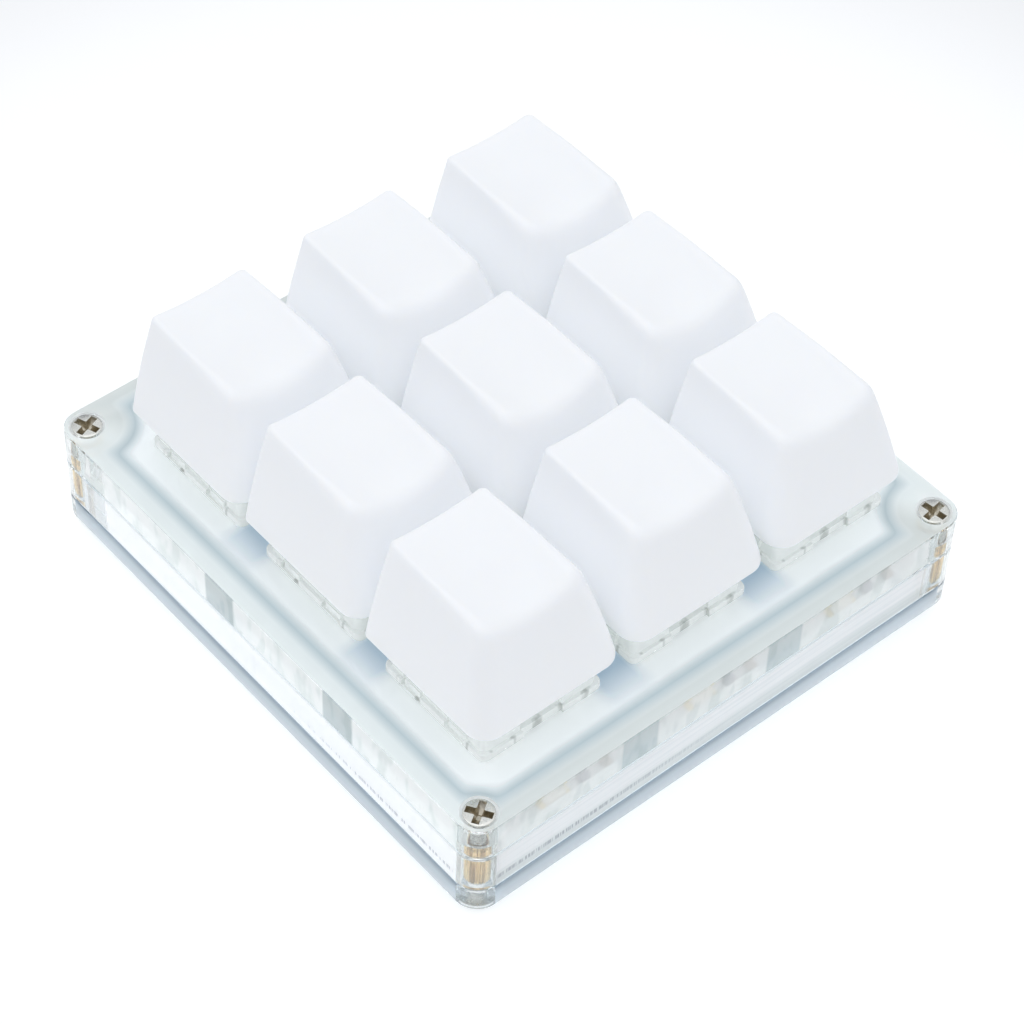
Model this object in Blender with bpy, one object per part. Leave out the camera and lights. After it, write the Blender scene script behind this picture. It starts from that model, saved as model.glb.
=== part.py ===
"""Nine-key numeric keypad: a clear layered case, clip-in key switches and dished keycaps.

Frame: +Z up, -Y towards the user, +Y towards the USB socket.
Origin: middle of the case's outline, on the surface that the feet stand on.
"""

from math import atan2, cos, pi, radians, sin, sqrt

import bmesh
import bpy
from mathutils import Matrix, Vector

MM = 0.001
GAP = 0.3 * MM                        # clearance between neighbouring pieces
SMOOTH_ANGLE = radians(35)            # edges sharper than this stay sharp in the shading
WIRE_SMOOTH_ANGLE = radians(60)

# Keys
KEY_PITCH = 19.05 * MM
KEYS_PER_SIDE = 3
KEY_TRAVEL = 4.0 * MM

# Case, from the table up
CASE_WIDTH = 65.4 * MM
CASE_DEPTH = 68.6 * MM
CASE_CORNER_RADIUS = 2.7 * MM
CASE_WALL = 3.4 * MM
FRONT_MARGIN = 32.95 * MM             # middle of the key grid to the front of the case
FOOT_RADIUS = 4.0 * MM
FOOT_HEIGHT = 1.2 * MM
FOOT_INSET = 9.0 * MM
FOOT_CHAMFER = 0.5 * MM
BASE_THICKNESS = 2.9 * MM
FRAME_HEIGHT = 4.8 * MM
COVER_HEIGHT = 4.2 * MM
COVER_SKIN = 1.5 * MM                 # the cover's upper wall, which the switches clip into
BOARD_DROP = 5.0 * MM                 # cover's upper face down to the circuit board
BOARD_THICKNESS = 1.6 * MM

# Corner fasteners
BOSS_RADIUS = 2.6 * MM
SCREW_INSET = 2.5 * MM                # from the case's sides to the screws' axes
SCREW_LENGTH = 5.0 * MM
SCREW_HEAD_RADIUS = 1.7 * MM
SCREW_SHANK_RADIUS = 0.9 * MM
SCREW_HEAD_EDGE = 0.1 * MM            # straight rim above the head's cone
RECESS_DEPTH = 0.85 * MM
RECESS_TOP = (1.3 * MM, 0.3 * MM)     # reach and half width of the cross at the head's face
RECESS_FLOOR = (0.4 * MM, 0.16 * MM)
RECESS_OVERSHOOT = 0.1 * MM           # short, because the cutter widens past the face
STANDOFF_RADIUS = 1.5 * MM
STANDOFF_BORE_RADIUS = 1.1 * MM
STANDOFF_RISE = 1.0 * MM              # how far a standoff reaches up into the cover

# Switches
SWITCH_HOLE = 14.0 * MM
HOUSING_RIM = 15.2 * MM
HOUSING_RIM_HEIGHT = 1.0 * MM
HOUSING_SHOULDER = 14.4 * MM
HOUSING_CROWN_WIDTH = 11.4 * MM
HOUSING_CROWN_DEPTH = 9.6 * MM
HOUSING_BEVEL = 0.8 * MM
HOUSING_HEIGHT = 6.6 * MM             # above the cover
HOUSING_FLOOR = 1.2 * MM
HOUSING_POST_RADIUS = 2.0 * MM
HOUSING_POST_LENGTH = 3.3 * MM        # below the board's upper face
SLIDER_WIDTH = 6.2 * MM
SLIDER_DEPTH = 5.7 * MM
BOTTOMING_GAP = 0.4 * MM              # under the slider when the key is fully pressed
SLIDER_BORE_RADIUS = 2.3 * MM
SLIDER_CROWN = 1.2 * MM               # solid top of the slider, above its bore
CROSS_REACH = 2.0 * MM
CROSS_HALF_WIDTH = 0.65 * MM
CROSS_HEIGHT = 3.6 * MM
SPRING_RADIUS = 1.8 * MM              # to the middle of the wire
SPRING_WIRE_RADIUS = 0.2 * MM
SPRING_TURNS = 4
SPRING_STEPS_PER_TURN = 8
SPRING_WIRE_SIDES = 4

# Keycaps
CAP_RISE = 5.3 * MM                   # cover's upper face up to the skirt
CAP_SKIRT_HALF = 9.0 * MM
CAP_TOP_HALF = 5.75 * MM
CAP_TOP_FRONT = -5.7 * MM
CAP_TOP_BACK = 8.9 * MM
CAP_HEIGHT_FRONT = 11.6 * MM
CAP_HEIGHT_BACK = 11.4 * MM
CAP_DISH_FRONT = 1.7 * MM
CAP_DISH_BACK = 0.5 * MM
CAP_SKIRT_RADII = (2.4 * MM, 0.8 * MM)      # front and back corners
CAP_TOP_RADII = (1.9 * MM, 0.7 * MM)
CAP_LEAST_RADIUS = 0.3 * MM           # corner radius where the inset uses up the rest
CAP_CREST_FRACTION = 0.955            # where the sides end and the soft crest starts
CAP_CREST_INSET = 0.45 * MM
CAP_WALL = 1.4 * MM
CAP_CEILING_FRACTION = 0.86
CAP_POST_RADIUS = 2.8 * MM
CAP_CORNER_STEPS = 2
CAP_DISH_STEPS = 4

# USB socket and controller
USB_WIDTH = 8.94 * MM
USB_HEIGHT = 3.16 * MM
USB_LENGTH = 7.35 * MM
USB_SHELL = 0.35 * MM
USB_RECESS = 0.6 * MM                 # mouth behind the case's back face
USB_POCKET_DEPTH = 6.0 * MM
USB_TONGUE_WIDTH = 6.7 * MM
USB_TONGUE_HEIGHT = 0.7 * MM
USB_TONGUE_LENGTH = 4.5 * MM
CHIP_SIZE = 7.0 * MM
CHIP_THICKNESS = 1.0 * MM
CHIP_BEVEL = 0.5 * MM
BOARD_CLEARANCE = 0.5 * MM            # circuit board to the case's inner wall

# Levels and places that follow from them
BASE_BOTTOM = FOOT_HEIGHT + GAP
BASE_TOP = BASE_BOTTOM + BASE_THICKNESS
FRAME_BOTTOM = BASE_TOP + GAP
FRAME_TOP = FRAME_BOTTOM + FRAME_HEIGHT
COVER_BOTTOM = FRAME_TOP + GAP
COVER_TOP = COVER_BOTTOM + COVER_HEIGHT
SKIN_BOTTOM = COVER_TOP - COVER_SKIN
BOARD_TOP = COVER_TOP - BOARD_DROP
BOARD_BOTTOM = BOARD_TOP - BOARD_THICKNESS
STANDOFF_TOP = COVER_BOTTOM + STANDOFF_RISE
HOUSING_BOTTOM = BOARD_TOP + GAP
HOUSING_TOP = COVER_TOP + HOUSING_HEIGHT
WELL_FLOOR = HOUSING_BOTTOM + HOUSING_FLOOR
SLIDER_BOTTOM = WELL_FLOOR + KEY_TRAVEL + BOTTOMING_GAP
SPRING_BOTTOM = WELL_FLOOR + GAP
SPRING_TOP = HOUSING_TOP - SLIDER_CROWN - GAP
SKIRT_Z = COVER_TOP + CAP_RISE
KEY_GRID_Y = FRONT_MARGIN - CASE_DEPTH / 2
SCREW_X = CASE_WIDTH / 2 - SCREW_INSET
SCREW_Y = CASE_DEPTH / 2 - SCREW_INSET
USB_CENTRE_Z = BOARD_BOTTOM
OVERSHOOT = 0.5 * MM                  # how far a cutter runs past what it cuts

# Segment counts
CASE_CORNER_STEPS = 5
BOSS_STEPS = 5
ROUND_STEPS = 16                      # feet, standoffs and the holes round them
SCREW_STEPS = 12
POST_STEPS = 10
SOCKET_CORNER_STEPS = 5

CORNERS = {
    "front_left": (-1, -1),
    "front_right": (1, -1),
    "back_right": (1, 1),
    "back_left": (-1, 1),
}


# Outlines -----------------------------------------------------------------------------------

def arc(centre, radius, start, end, steps):
    """Points on an arc, from the start angle to the end angle, both included."""
    angles = [start + (end - start) * step / steps for step in range(steps + 1)]
    return [Vector((centre[0] + radius * cos(a), centre[1] + radius * sin(a))) for a in angles]


def circle(radius, steps, centre=(0.0, 0.0)):
    return arc(centre, radius, 0.0, 2 * pi, steps)[:-1]


def rounded_rectangle(width, depth, radius, steps):
    """Counter-clockwise outline about the origin."""
    across = width / 2 - radius
    along = depth / 2 - radius
    outline = []
    for quarter, (side_x, side_y) in enumerate([(1, 1), (-1, 1), (-1, -1), (1, -1)]):
        start = quarter * pi / 2
        outline += arc((side_x * across, side_y * along), radius, start, start + pi / 2, steps)
    return outline


def rectangle(width, depth, centre=(0.0, 0.0)):
    return [Vector((centre[0] + x * width / 2, centre[1] + y * depth / 2))
            for x, y in [(-1, -1), (1, -1), (1, 1), (-1, 1)]]


def bevelled_rectangle(width, depth, bevel):
    """Rectangle with its four corners cut off."""
    return rounded_rectangle(width, depth, bevel, 1)


def cross_outline(reach, half_width):
    """Plus sign about the origin, counter-clockwise."""
    arm = [Vector((half_width, half_width)), Vector((reach, half_width)), Vector((reach, -half_width))]
    outline = []
    for quarter in range(4):
        turn = Matrix.Rotation(-quarter * pi / 2, 2)
        outline += [turn @ point for point in arm]
    return outline[::-1]


def cavity_outline(clearance):
    """Inside of the case walls, bending in round the four corner bosses."""
    half_x = CASE_WIDTH / 2 - CASE_WALL - clearance
    half_y = CASE_DEPTH / 2 - CASE_WALL - clearance
    radius = BOSS_RADIUS + clearance
    beyond_x = SCREW_X - half_x
    beyond_y = SCREW_Y - half_y
    start = atan2(-sqrt(radius ** 2 - beyond_x ** 2), -beyond_x)
    end = atan2(-beyond_y, -sqrt(radius ** 2 - beyond_y ** 2))
    quarter = arc((SCREW_X, SCREW_Y), radius, start, end, BOSS_STEPS)
    outline = []
    for side_x, side_y in [(1, 1), (-1, 1), (-1, -1), (1, -1)]:
        mirrored = [Vector((side_x * point.x, side_y * point.y)) for point in quarter]
        outline += mirrored if side_x == side_y else mirrored[::-1]
    return outline


# Meshes -------------------------------------------------------------------------------------

def raise_outline(outline, z):
    return [Vector((point.x, point.y, z)) for point in outline]


def skin(rings, ruled_ends=False):
    """Closed mesh through rings of equal length, from the lowest to the highest.

    Ruled ends join the two halves of an end ring with straight strips, for a dished face.
    """
    mesh = bpy.data.meshes.new("skin")
    count = len(rings[0])
    vertices = [point for ring in rings for point in ring]
    faces = []
    for level in range(len(rings) - 1):
        low = level * count
        high = low + count
        for i in range(count):
            j = (i + 1) % count
            faces.append((low + i, low + j, high + j, high + i))
    last = (len(rings) - 1) * count
    if ruled_ends:
        for i in range(count // 2 - 1):
            strip = (i, i + 1, count - 2 - i, count - 1 - i)
            faces.append(tuple(last + k for k in strip))
            faces.append(strip[::-1])
    else:
        faces.append(tuple(range(last, last + count)))
        faces.append(tuple(reversed(range(count))))
    mesh.from_pydata(vertices, [], faces)
    return mesh


def prism(outline, low, high):
    return skin([raise_outline(outline, low), raise_outline(outline, high)])


def turned(profile, steps, centre=(0.0, 0.0)):
    """Solid of revolution about an upright axis, from (radius, z) pairs, lowest first."""
    return skin([raise_outline(circle(radius, steps, centre), z) for radius, z in profile])


def gathered(meshes):
    """One mesh that holds several separate shapes."""
    collector = bmesh.new()
    for mesh in meshes:
        collector.from_mesh(mesh)
        bpy.data.meshes.remove(mesh)
    result = bpy.data.meshes.new("gathered")
    collector.to_mesh(result)
    collector.free()
    return result


def combined(mesh, tool_mesh, operation):
    """The result of an exact Boolean between two meshes, which are used up."""
    body = bpy.data.objects.new("body", mesh)
    tool = bpy.data.objects.new("tool", tool_mesh)
    for piece in (body, tool):
        bpy.context.scene.collection.objects.link(piece)
    boolean = body.modifiers.new("boolean", "BOOLEAN")
    boolean.operation = operation
    boolean.solver = "EXACT"
    boolean.object = tool
    bpy.context.view_layer.update()
    depsgraph = bpy.context.evaluated_depsgraph_get()
    result = bpy.data.meshes.new_from_object(body.evaluated_get(depsgraph))
    for piece in (body, tool):
        bpy.data.objects.remove(piece)
    for used in (mesh, tool_mesh):
        bpy.data.meshes.remove(used)
    return result


def cut(mesh, *tools):
    return combined(mesh, gathered(tools), "DIFFERENCE")


def joined(mesh, tool):
    return combined(mesh, tool, "UNION")


def material(name, color, roughness, metallic=0.0, transmission=0.0):
    result = bpy.data.materials.new(name)
    result.use_nodes = True
    shader = result.node_tree.nodes["Principled BSDF"]
    shader.inputs["Base Color"].default_value = (*color, 1.0)
    shader.inputs["Roughness"].default_value = roughness
    shader.inputs["Metallic"].default_value = metallic
    shader.inputs["Transmission Weight"].default_value = transmission
    return result


def place(name, mesh, look, location=(0.0, 0.0, 0.0), rotation_x=0.0, smooth_angle=None):
    """Named object in the scene, with its origin at the location."""
    if smooth_angle is not None:
        mesh.shade_smooth()
        mesh.set_sharp_from_angle(angle=smooth_angle)
    if not mesh.materials:
        mesh.materials.append(look)
    piece = bpy.data.objects.new(name, mesh)
    piece.location = location
    piece.rotation_euler = (rotation_x, 0.0, 0.0)
    bpy.context.scene.collection.objects.link(piece)
    return piece


# Case ---------------------------------------------------------------------------------------

def key_centres():
    """Key number and place, numbered along each row from the front left."""
    middle = (KEYS_PER_SIDE - 1) / 2
    for row in range(KEYS_PER_SIDE):
        for column in range(KEYS_PER_SIDE):
            x = (column - middle) * KEY_PITCH
            y = KEY_GRID_Y + (row - middle) * KEY_PITCH
            yield row * KEYS_PER_SIDE + column + 1, x, y


def case_layer(low, high):
    outline = rounded_rectangle(CASE_WIDTH, CASE_DEPTH, CASE_CORNER_RADIUS, CASE_CORNER_STEPS)
    return prism(outline, low, high)


def at_corners(profile):
    """Turned cutters on the four corner screw axes."""
    return [turned(profile, ROUND_STEPS, (side_x * SCREW_X, side_y * SCREW_Y))
            for side_x, side_y in CORNERS.values()]


def countersink_profile():
    """Clearance hole for a screw, from its head's flat face at zero down into the plate."""
    shank = SCREW_SHANK_RADIUS + GAP
    head = SCREW_HEAD_RADIUS + GAP
    cone = head - shank
    return [(head, OVERSHOOT), (head, -GAP), (shank, -GAP - cone)]


def top_cover():
    """Upper case layer: nine square switch holes, hollow below its skin."""
    layer = case_layer(COVER_BOTTOM, COVER_TOP)
    pocket = prism(cavity_outline(0.0), COVER_BOTTOM - OVERSHOOT, SKIN_BOTTOM)
    layer = cut(layer, pocket)
    holes = [prism(rectangle(SWITCH_HOLE, SWITCH_HOLE, (x, y)), COVER_BOTTOM, COVER_TOP + OVERSHOOT)
             for _, x, y in key_centres()]
    layer = cut(layer, *holes)
    standoff_hole = STANDOFF_RADIUS + GAP
    step = STANDOFF_TOP + GAP
    profile = [(standoff_hole, COVER_BOTTOM - OVERSHOOT), (standoff_hole, step)]
    profile.append((SCREW_SHANK_RADIUS + GAP, step))
    profile += [(radius, COVER_TOP + z) for radius, z in reversed(countersink_profile())]
    layer = cut(layer, *at_corners(profile))
    place("top_cover", layer, material("frosted_acrylic", (0.86, 0.90, 0.92), 0.35, 0.0, 0.8))


def middle_frame():
    """Middle case layer: a ring round the circuit board, with the USB socket's notch."""
    ring = cut(case_layer(FRAME_BOTTOM, FRAME_TOP),
               prism(cavity_outline(0.0), FRAME_BOTTOM - OVERSHOOT, FRAME_TOP + OVERSHOOT))
    notch_bottom = USB_CENTRE_Z - USB_HEIGHT / 2 - GAP
    notch_outline = rectangle(USB_WIDTH + 2 * GAP, 2 * CASE_WALL, (0.0, CASE_DEPTH / 2 - CASE_WALL / 2))
    ring = cut(ring, prism(notch_outline, notch_bottom, FRAME_TOP + OVERSHOOT))
    radius = STANDOFF_RADIUS + GAP
    ring = cut(ring, *at_corners([(radius, FRAME_BOTTOM - OVERSHOOT), (radius, FRAME_TOP + OVERSHOOT)]))
    place("middle_frame", ring, material("clear_acrylic", (0.90, 0.94, 0.96), 0.1, 0.0, 0.9))


def bottom_plate():
    """Flat lowest layer, with the base screws' countersinks in its underside."""
    plate = case_layer(BASE_BOTTOM, BASE_TOP)
    profile = [(radius, BASE_BOTTOM - z) for radius, z in countersink_profile()]
    profile.append((SCREW_SHANK_RADIUS + GAP, BASE_TOP + OVERSHOOT))
    place("bottom_plate", cut(plate, *at_corners(profile)),
          material("tinted_acrylic", (0.66, 0.73, 0.80), 0.1, 0.0, 0.8))


def feet():
    look = material("clear_rubber", (0.85, 0.87, 0.88), 0.5)
    profile = [(FOOT_RADIUS - FOOT_CHAMFER, 0.0), (FOOT_RADIUS, FOOT_CHAMFER), (FOOT_RADIUS, FOOT_HEIGHT)]
    mesh = turned(profile, ROUND_STEPS)
    for corner, (side_x, side_y) in CORNERS.items():
        x = side_x * (CASE_WIDTH / 2 - FOOT_INSET)
        y = side_y * (CASE_DEPTH / 2 - FOOT_INSET)
        place("foot_" + corner, mesh, look, (x, y, 0.0), smooth_angle=SMOOTH_ANGLE)


# Corner fasteners ---------------------------------------------------------------------------

def countersunk_screw():
    """Screw hanging from its head's flat face at z = 0, with a tapered cross recess."""
    cone = SCREW_HEAD_RADIUS - SCREW_SHANK_RADIUS
    profile = [(SCREW_SHANK_RADIUS, -SCREW_LENGTH), (SCREW_SHANK_RADIUS, -SCREW_HEAD_EDGE - cone),
               (SCREW_HEAD_RADIUS, -SCREW_HEAD_EDGE), (SCREW_HEAD_RADIUS, 0.0)]
    recess = skin([raise_outline(cross_outline(*RECESS_FLOOR), -RECESS_DEPTH),
                   raise_outline(cross_outline(*RECESS_TOP), RECESS_OVERSHOOT)])
    return cut(turned(profile, SCREW_STEPS), recess)


def fasteners():
    """Cover screw from above and base screw from below, meeting in a brass standoff."""
    nickel = material("nickel", (0.72, 0.70, 0.67), 0.25, 1.0)
    brass = material("brass", (0.85, 0.68, 0.38), 0.3, 1.0)
    screw = countersunk_screw()
    rod = turned([(STANDOFF_RADIUS, FRAME_BOTTOM), (STANDOFF_RADIUS, STANDOFF_TOP)], ROUND_STEPS)
    bore = [(STANDOFF_BORE_RADIUS, FRAME_BOTTOM - OVERSHOOT),
            (STANDOFF_BORE_RADIUS, STANDOFF_TOP + OVERSHOOT)]
    sleeve = cut(rod, turned(bore, ROUND_STEPS))
    for corner, (side_x, side_y) in CORNERS.items():
        x = side_x * SCREW_X
        y = side_y * SCREW_Y
        place("cover_screw_" + corner, screw, nickel, (x, y, COVER_TOP), smooth_angle=SMOOTH_ANGLE)
        place("base_screw_" + corner, screw, nickel, (x, y, BASE_BOTTOM), pi, smooth_angle=SMOOTH_ANGLE)
        place("standoff_" + corner, sleeve, brass, (x, y, 0.0), smooth_angle=SMOOTH_ANGLE)


# Electronics --------------------------------------------------------------------------------

def circuit_board():
    """Board that fills the frame, with a hole for each switch's post and a USB notch."""
    board = prism(cavity_outline(BOARD_CLEARANCE), BOARD_BOTTOM, BOARD_TOP)
    hole = HOUSING_POST_RADIUS + GAP
    low = BOARD_BOTTOM - OVERSHOOT
    high = BOARD_TOP + OVERSHOOT
    holes = [turned([(hole, low), (hole, high)], POST_STEPS, (x, y)) for _, x, y in key_centres()]
    notch_front = CASE_DEPTH / 2 - USB_RECESS - USB_LENGTH - GAP
    notch_depth = CASE_DEPTH / 2 - notch_front
    notch = rectangle(USB_WIDTH + 2 * GAP, notch_depth, (0.0, notch_front + notch_depth / 2))
    board = cut(board, *holes, prism(notch, low, high))
    place("circuit_board", board, material("white_board", (0.88, 0.90, 0.90), 0.4))


def usb_socket():
    """USB-C socket: a round-ended steel shell with a tongue, open towards +Y."""
    steps = SOCKET_CORNER_STEPS
    shell = prism(rounded_rectangle(USB_WIDTH, USB_HEIGHT, USB_HEIGHT / 2, steps), 0.0, USB_LENGTH)
    inner_width = USB_WIDTH - 2 * USB_SHELL
    inner_height = USB_HEIGHT - 2 * USB_SHELL
    pocket_outline = rounded_rectangle(inner_width, inner_height, inner_height / 2, steps)
    floor = USB_LENGTH - USB_POCKET_DEPTH
    shell = cut(shell, prism(pocket_outline, floor, USB_LENGTH + OVERSHOOT))
    tongue_outline = rectangle(USB_TONGUE_WIDTH, USB_TONGUE_HEIGHT)
    shell = joined(shell, prism(tongue_outline, floor - OVERSHOOT, floor + USB_TONGUE_LENGTH))
    front = CASE_DEPTH / 2 - USB_RECESS - USB_LENGTH
    place("usb_socket", shell, material("steel", (0.7, 0.7, 0.72), 0.3, 1.0),
          (0.0, front, USB_CENTRE_Z), -pi / 2)


def controller_chip():
    top = BOARD_BOTTOM - GAP
    body = prism(bevelled_rectangle(CHIP_SIZE, CHIP_SIZE, CHIP_BEVEL), top - CHIP_THICKNESS, top)
    place("controller_chip", body, material("chip_resin", (0.05, 0.05, 0.06), 0.5),
          (0.0, KEY_GRID_Y + KEY_PITCH / 2, 0.0))


# Switches -----------------------------------------------------------------------------------

def switch_housing_mesh():
    """Housing about its key's axis: waist in the cover's hole, rim on it, tapered crown."""
    waist = SWITCH_HOLE - 2 * GAP
    rim_bottom = COVER_TOP + GAP
    rim_top = rim_bottom + HOUSING_RIM_HEIGHT
    sections = [(waist, waist, HOUSING_BOTTOM),
                (waist, waist, rim_bottom),
                (HOUSING_RIM, HOUSING_RIM, rim_bottom),
                (HOUSING_RIM, HOUSING_RIM, rim_top),
                (HOUSING_SHOULDER, HOUSING_SHOULDER, rim_top),
                (HOUSING_CROWN_WIDTH, HOUSING_CROWN_DEPTH, HOUSING_TOP)]
    body = skin([raise_outline(bevelled_rectangle(width, depth, HOUSING_BEVEL), z)
                 for width, depth, z in sections])
    post = [(HOUSING_POST_RADIUS, BOARD_TOP - HOUSING_POST_LENGTH),
            (HOUSING_POST_RADIUS, HOUSING_BOTTOM + HOUSING_FLOOR / 2)]
    body = joined(body, turned(post, POST_STEPS))
    well = rectangle(SLIDER_WIDTH + 2 * GAP, SLIDER_DEPTH + 2 * GAP)
    return cut(body, prism(well, WELL_FLOOR, HOUSING_TOP + OVERSHOOT))


def stem_mesh():
    """Slider with the keycap's cross on top and the spring's bore below."""
    slider = prism(rectangle(SLIDER_WIDTH, SLIDER_DEPTH), SLIDER_BOTTOM, HOUSING_TOP)
    cross = prism(cross_outline(CROSS_REACH, CROSS_HALF_WIDTH),
                  HOUSING_TOP - OVERSHOOT, HOUSING_TOP + CROSS_HEIGHT)
    bore = [(SLIDER_BORE_RADIUS, SLIDER_BOTTOM - OVERSHOOT),
            (SLIDER_BORE_RADIUS, HOUSING_TOP - SLIDER_CROWN)]
    return cut(joined(slider, cross), turned(bore, SCREW_STEPS))


def spring_mesh():
    """Helical wire about the key's axis, with blunt ends."""
    climb = SPRING_TOP - SPRING_BOTTOM - 2 * SPRING_WIRE_RADIUS
    steps = SPRING_TURNS * SPRING_STEPS_PER_TURN
    rings = []
    for step in range(steps + 1):
        angle = 2 * pi * step / SPRING_STEPS_PER_TURN
        outward = Vector((cos(angle), sin(angle), 0.0))
        middle = outward * SPRING_RADIUS
        middle.z = SPRING_BOTTOM + SPRING_WIRE_RADIUS + climb * step / steps
        ring = []
        for side in range(SPRING_WIRE_SIDES):
            turn = 2 * pi * side / SPRING_WIRE_SIDES
            ring.append(middle + SPRING_WIRE_RADIUS * (cos(turn) * outward + sin(turn) * Vector((0, 0, 1))))
        rings.append(ring[::-1])
    return skin(rings)


# Keycaps ------------------------------------------------------------------------------------

def blend(low, high, fraction):
    return low + (high - low) * fraction


def cap_height(x, y):
    """Dished top above the skirt: lowest along the middle, and deepest towards the front."""
    along = (y - CAP_TOP_FRONT) / (CAP_TOP_BACK - CAP_TOP_FRONT)
    crest = blend(CAP_HEIGHT_FRONT, CAP_HEIGHT_BACK, along)
    dish = blend(CAP_DISH_FRONT, CAP_DISH_BACK, along)
    return crest - dish * (1 - (x / CAP_TOP_HALF) ** 2)


def cap_plan(half, front, back, front_radius, back_radius):
    """Outline of a cap section: the front edge left to right, then the back edge right to left."""
    def spans(across):
        return [blend(-across, across, step / CAP_DISH_STEPS) for step in range(1, CAP_DISH_STEPS)]
    across, along = half - front_radius, front + front_radius
    near = arc((-across, along), front_radius, pi, 1.5 * pi, CAP_CORNER_STEPS)
    near += [Vector((x, front)) for x in spans(across)]
    near += arc((across, along), front_radius, 1.5 * pi, 2 * pi, CAP_CORNER_STEPS)
    across, along = half - back_radius, back - back_radius
    far = arc((across, along), back_radius, 0.0, pi / 2, CAP_CORNER_STEPS)
    far += [Vector((x, back)) for x in reversed(spans(across))]
    far += arc((-across, along), back_radius, pi / 2, pi, CAP_CORNER_STEPS)
    return near + far


def cap_ring(fraction, inset):
    """Section at a fraction of the way from skirt to crest, drawn in by the inset."""
    def edges(at):
        half = blend(CAP_SKIRT_HALF, CAP_TOP_HALF, at) - inset
        front = blend(-CAP_SKIRT_HALF, CAP_TOP_FRONT, at) + inset
        back = blend(CAP_SKIRT_HALF, CAP_TOP_BACK, at) - inset
        radii = [max(blend(skirt, top, at) - inset, CAP_LEAST_RADIUS)
                 for skirt, top in zip(CAP_SKIRT_RADII, CAP_TOP_RADII)]
        return cap_plan(half, front, back, *radii)
    crest = edges(1.0)
    return [Vector((point.x, point.y, SKIRT_Z + fraction * cap_height(top.x, top.y)))
            for point, top in zip(edges(fraction), crest)]


def keycap_mesh():
    """Hollow cap about its key's axis, with a post that takes the stem's cross."""
    cap = skin([cap_ring(0.0, 0.0), cap_ring(CAP_CREST_FRACTION, 0.0), cap_ring(1.0, CAP_CREST_INSET)],
               ruled_ends=True)
    mouth = [Vector((point.x, point.y, SKIRT_Z - OVERSHOOT)) for point in cap_ring(0.0, CAP_WALL)]
    cap = cut(cap, skin([mouth, cap_ring(CAP_CEILING_FRACTION, CAP_WALL)], ruled_ends=True))
    post_bottom = HOUSING_TOP + GAP
    ceiling = SKIRT_Z + CAP_CEILING_FRACTION * cap_height(0.0, 0.0)
    post = [(CAP_POST_RADIUS, post_bottom), (CAP_POST_RADIUS, ceiling + OVERSHOOT)]
    cap = joined(cap, turned(post, SCREW_STEPS))
    socket = cross_outline(CROSS_REACH + GAP, CROSS_HALF_WIDTH + GAP)
    return cut(cap, prism(socket, post_bottom - OVERSHOOT, HOUSING_TOP + CROSS_HEIGHT + GAP))


def keys():
    """Each key: fixed housing, and a keycap, stem and spring that travel straight down."""
    clear = material("clear_housing", (0.88, 0.91, 0.90), 0.15, 0.0, 0.8)
    white = material("milky_white", (0.90, 0.91, 0.94), 0.45)
    stem_white = material("stem_white", (0.85, 0.86, 0.85), 0.4)
    wire = material("spring_wire", (0.75, 0.74, 0.70), 0.3, 1.0)
    pieces = {
        "switch_housing": (switch_housing_mesh(), clear, None),
        "stem": (stem_mesh(), stem_white, None),
        "spring": (spring_mesh(), wire, WIRE_SMOOTH_ANGLE),
        "keycap": (keycap_mesh(), white, SMOOTH_ANGLE),
    }
    for number, x, y in key_centres():
        for kind, (mesh, look, smooth_angle) in pieces.items():
            place(f"{kind}_{number}", mesh, look, (x, y, 0.0), smooth_angle=smooth_angle)


def main():
    for leftover in list(bpy.data.objects):
        bpy.data.objects.remove(leftover)
    feet()
    bottom_plate()
    middle_frame()
    top_cover()
    fasteners()
    circuit_board()
    usb_socket()
    controller_chip()
    keys()


main()
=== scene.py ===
from math import atan2, cos, pi, radians, sin, sqrt

import bmesh
import bpy
from mathutils import Matrix, Vector


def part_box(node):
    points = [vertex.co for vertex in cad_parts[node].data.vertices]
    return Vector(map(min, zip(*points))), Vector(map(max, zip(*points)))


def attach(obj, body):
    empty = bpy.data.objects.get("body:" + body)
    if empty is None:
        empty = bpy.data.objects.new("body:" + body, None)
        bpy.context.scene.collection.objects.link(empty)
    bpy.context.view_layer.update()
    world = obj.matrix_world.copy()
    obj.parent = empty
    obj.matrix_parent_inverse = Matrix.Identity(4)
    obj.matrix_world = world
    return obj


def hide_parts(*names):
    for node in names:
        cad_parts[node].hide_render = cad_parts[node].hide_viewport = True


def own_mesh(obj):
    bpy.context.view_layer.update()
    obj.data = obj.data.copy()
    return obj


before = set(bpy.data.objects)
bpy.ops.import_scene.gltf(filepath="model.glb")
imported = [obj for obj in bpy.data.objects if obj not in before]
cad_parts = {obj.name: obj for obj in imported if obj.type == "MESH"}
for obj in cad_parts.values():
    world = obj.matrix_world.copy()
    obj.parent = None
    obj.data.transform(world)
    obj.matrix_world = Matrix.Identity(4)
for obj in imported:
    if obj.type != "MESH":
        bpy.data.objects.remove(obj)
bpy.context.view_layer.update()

MM = 0.001
GAP = 0.3 * MM                        # clearance between neighbouring pieces
OVERSHOOT = 0.5 * MM                  # how far a cutter runs past what it cuts
SMOOTH_ANGLE = radians(35)

# Camera
CAMERA_AZIMUTH = radians(-41.885)
CAMERA_ELEVATION = radians(48.325)
CAMERA_ROLL = radians(2.367)
CAMERA_DISTANCE = 329.25 * MM
CAMERA_AIM = Vector((0.0, -1.35, 9.5)) * MM
CAMERA_SLIDE = (-0.28 * MM, -0.766 * MM)    # to the right and up, in the picture plane
CAMERA_LENS = 111.63

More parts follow.
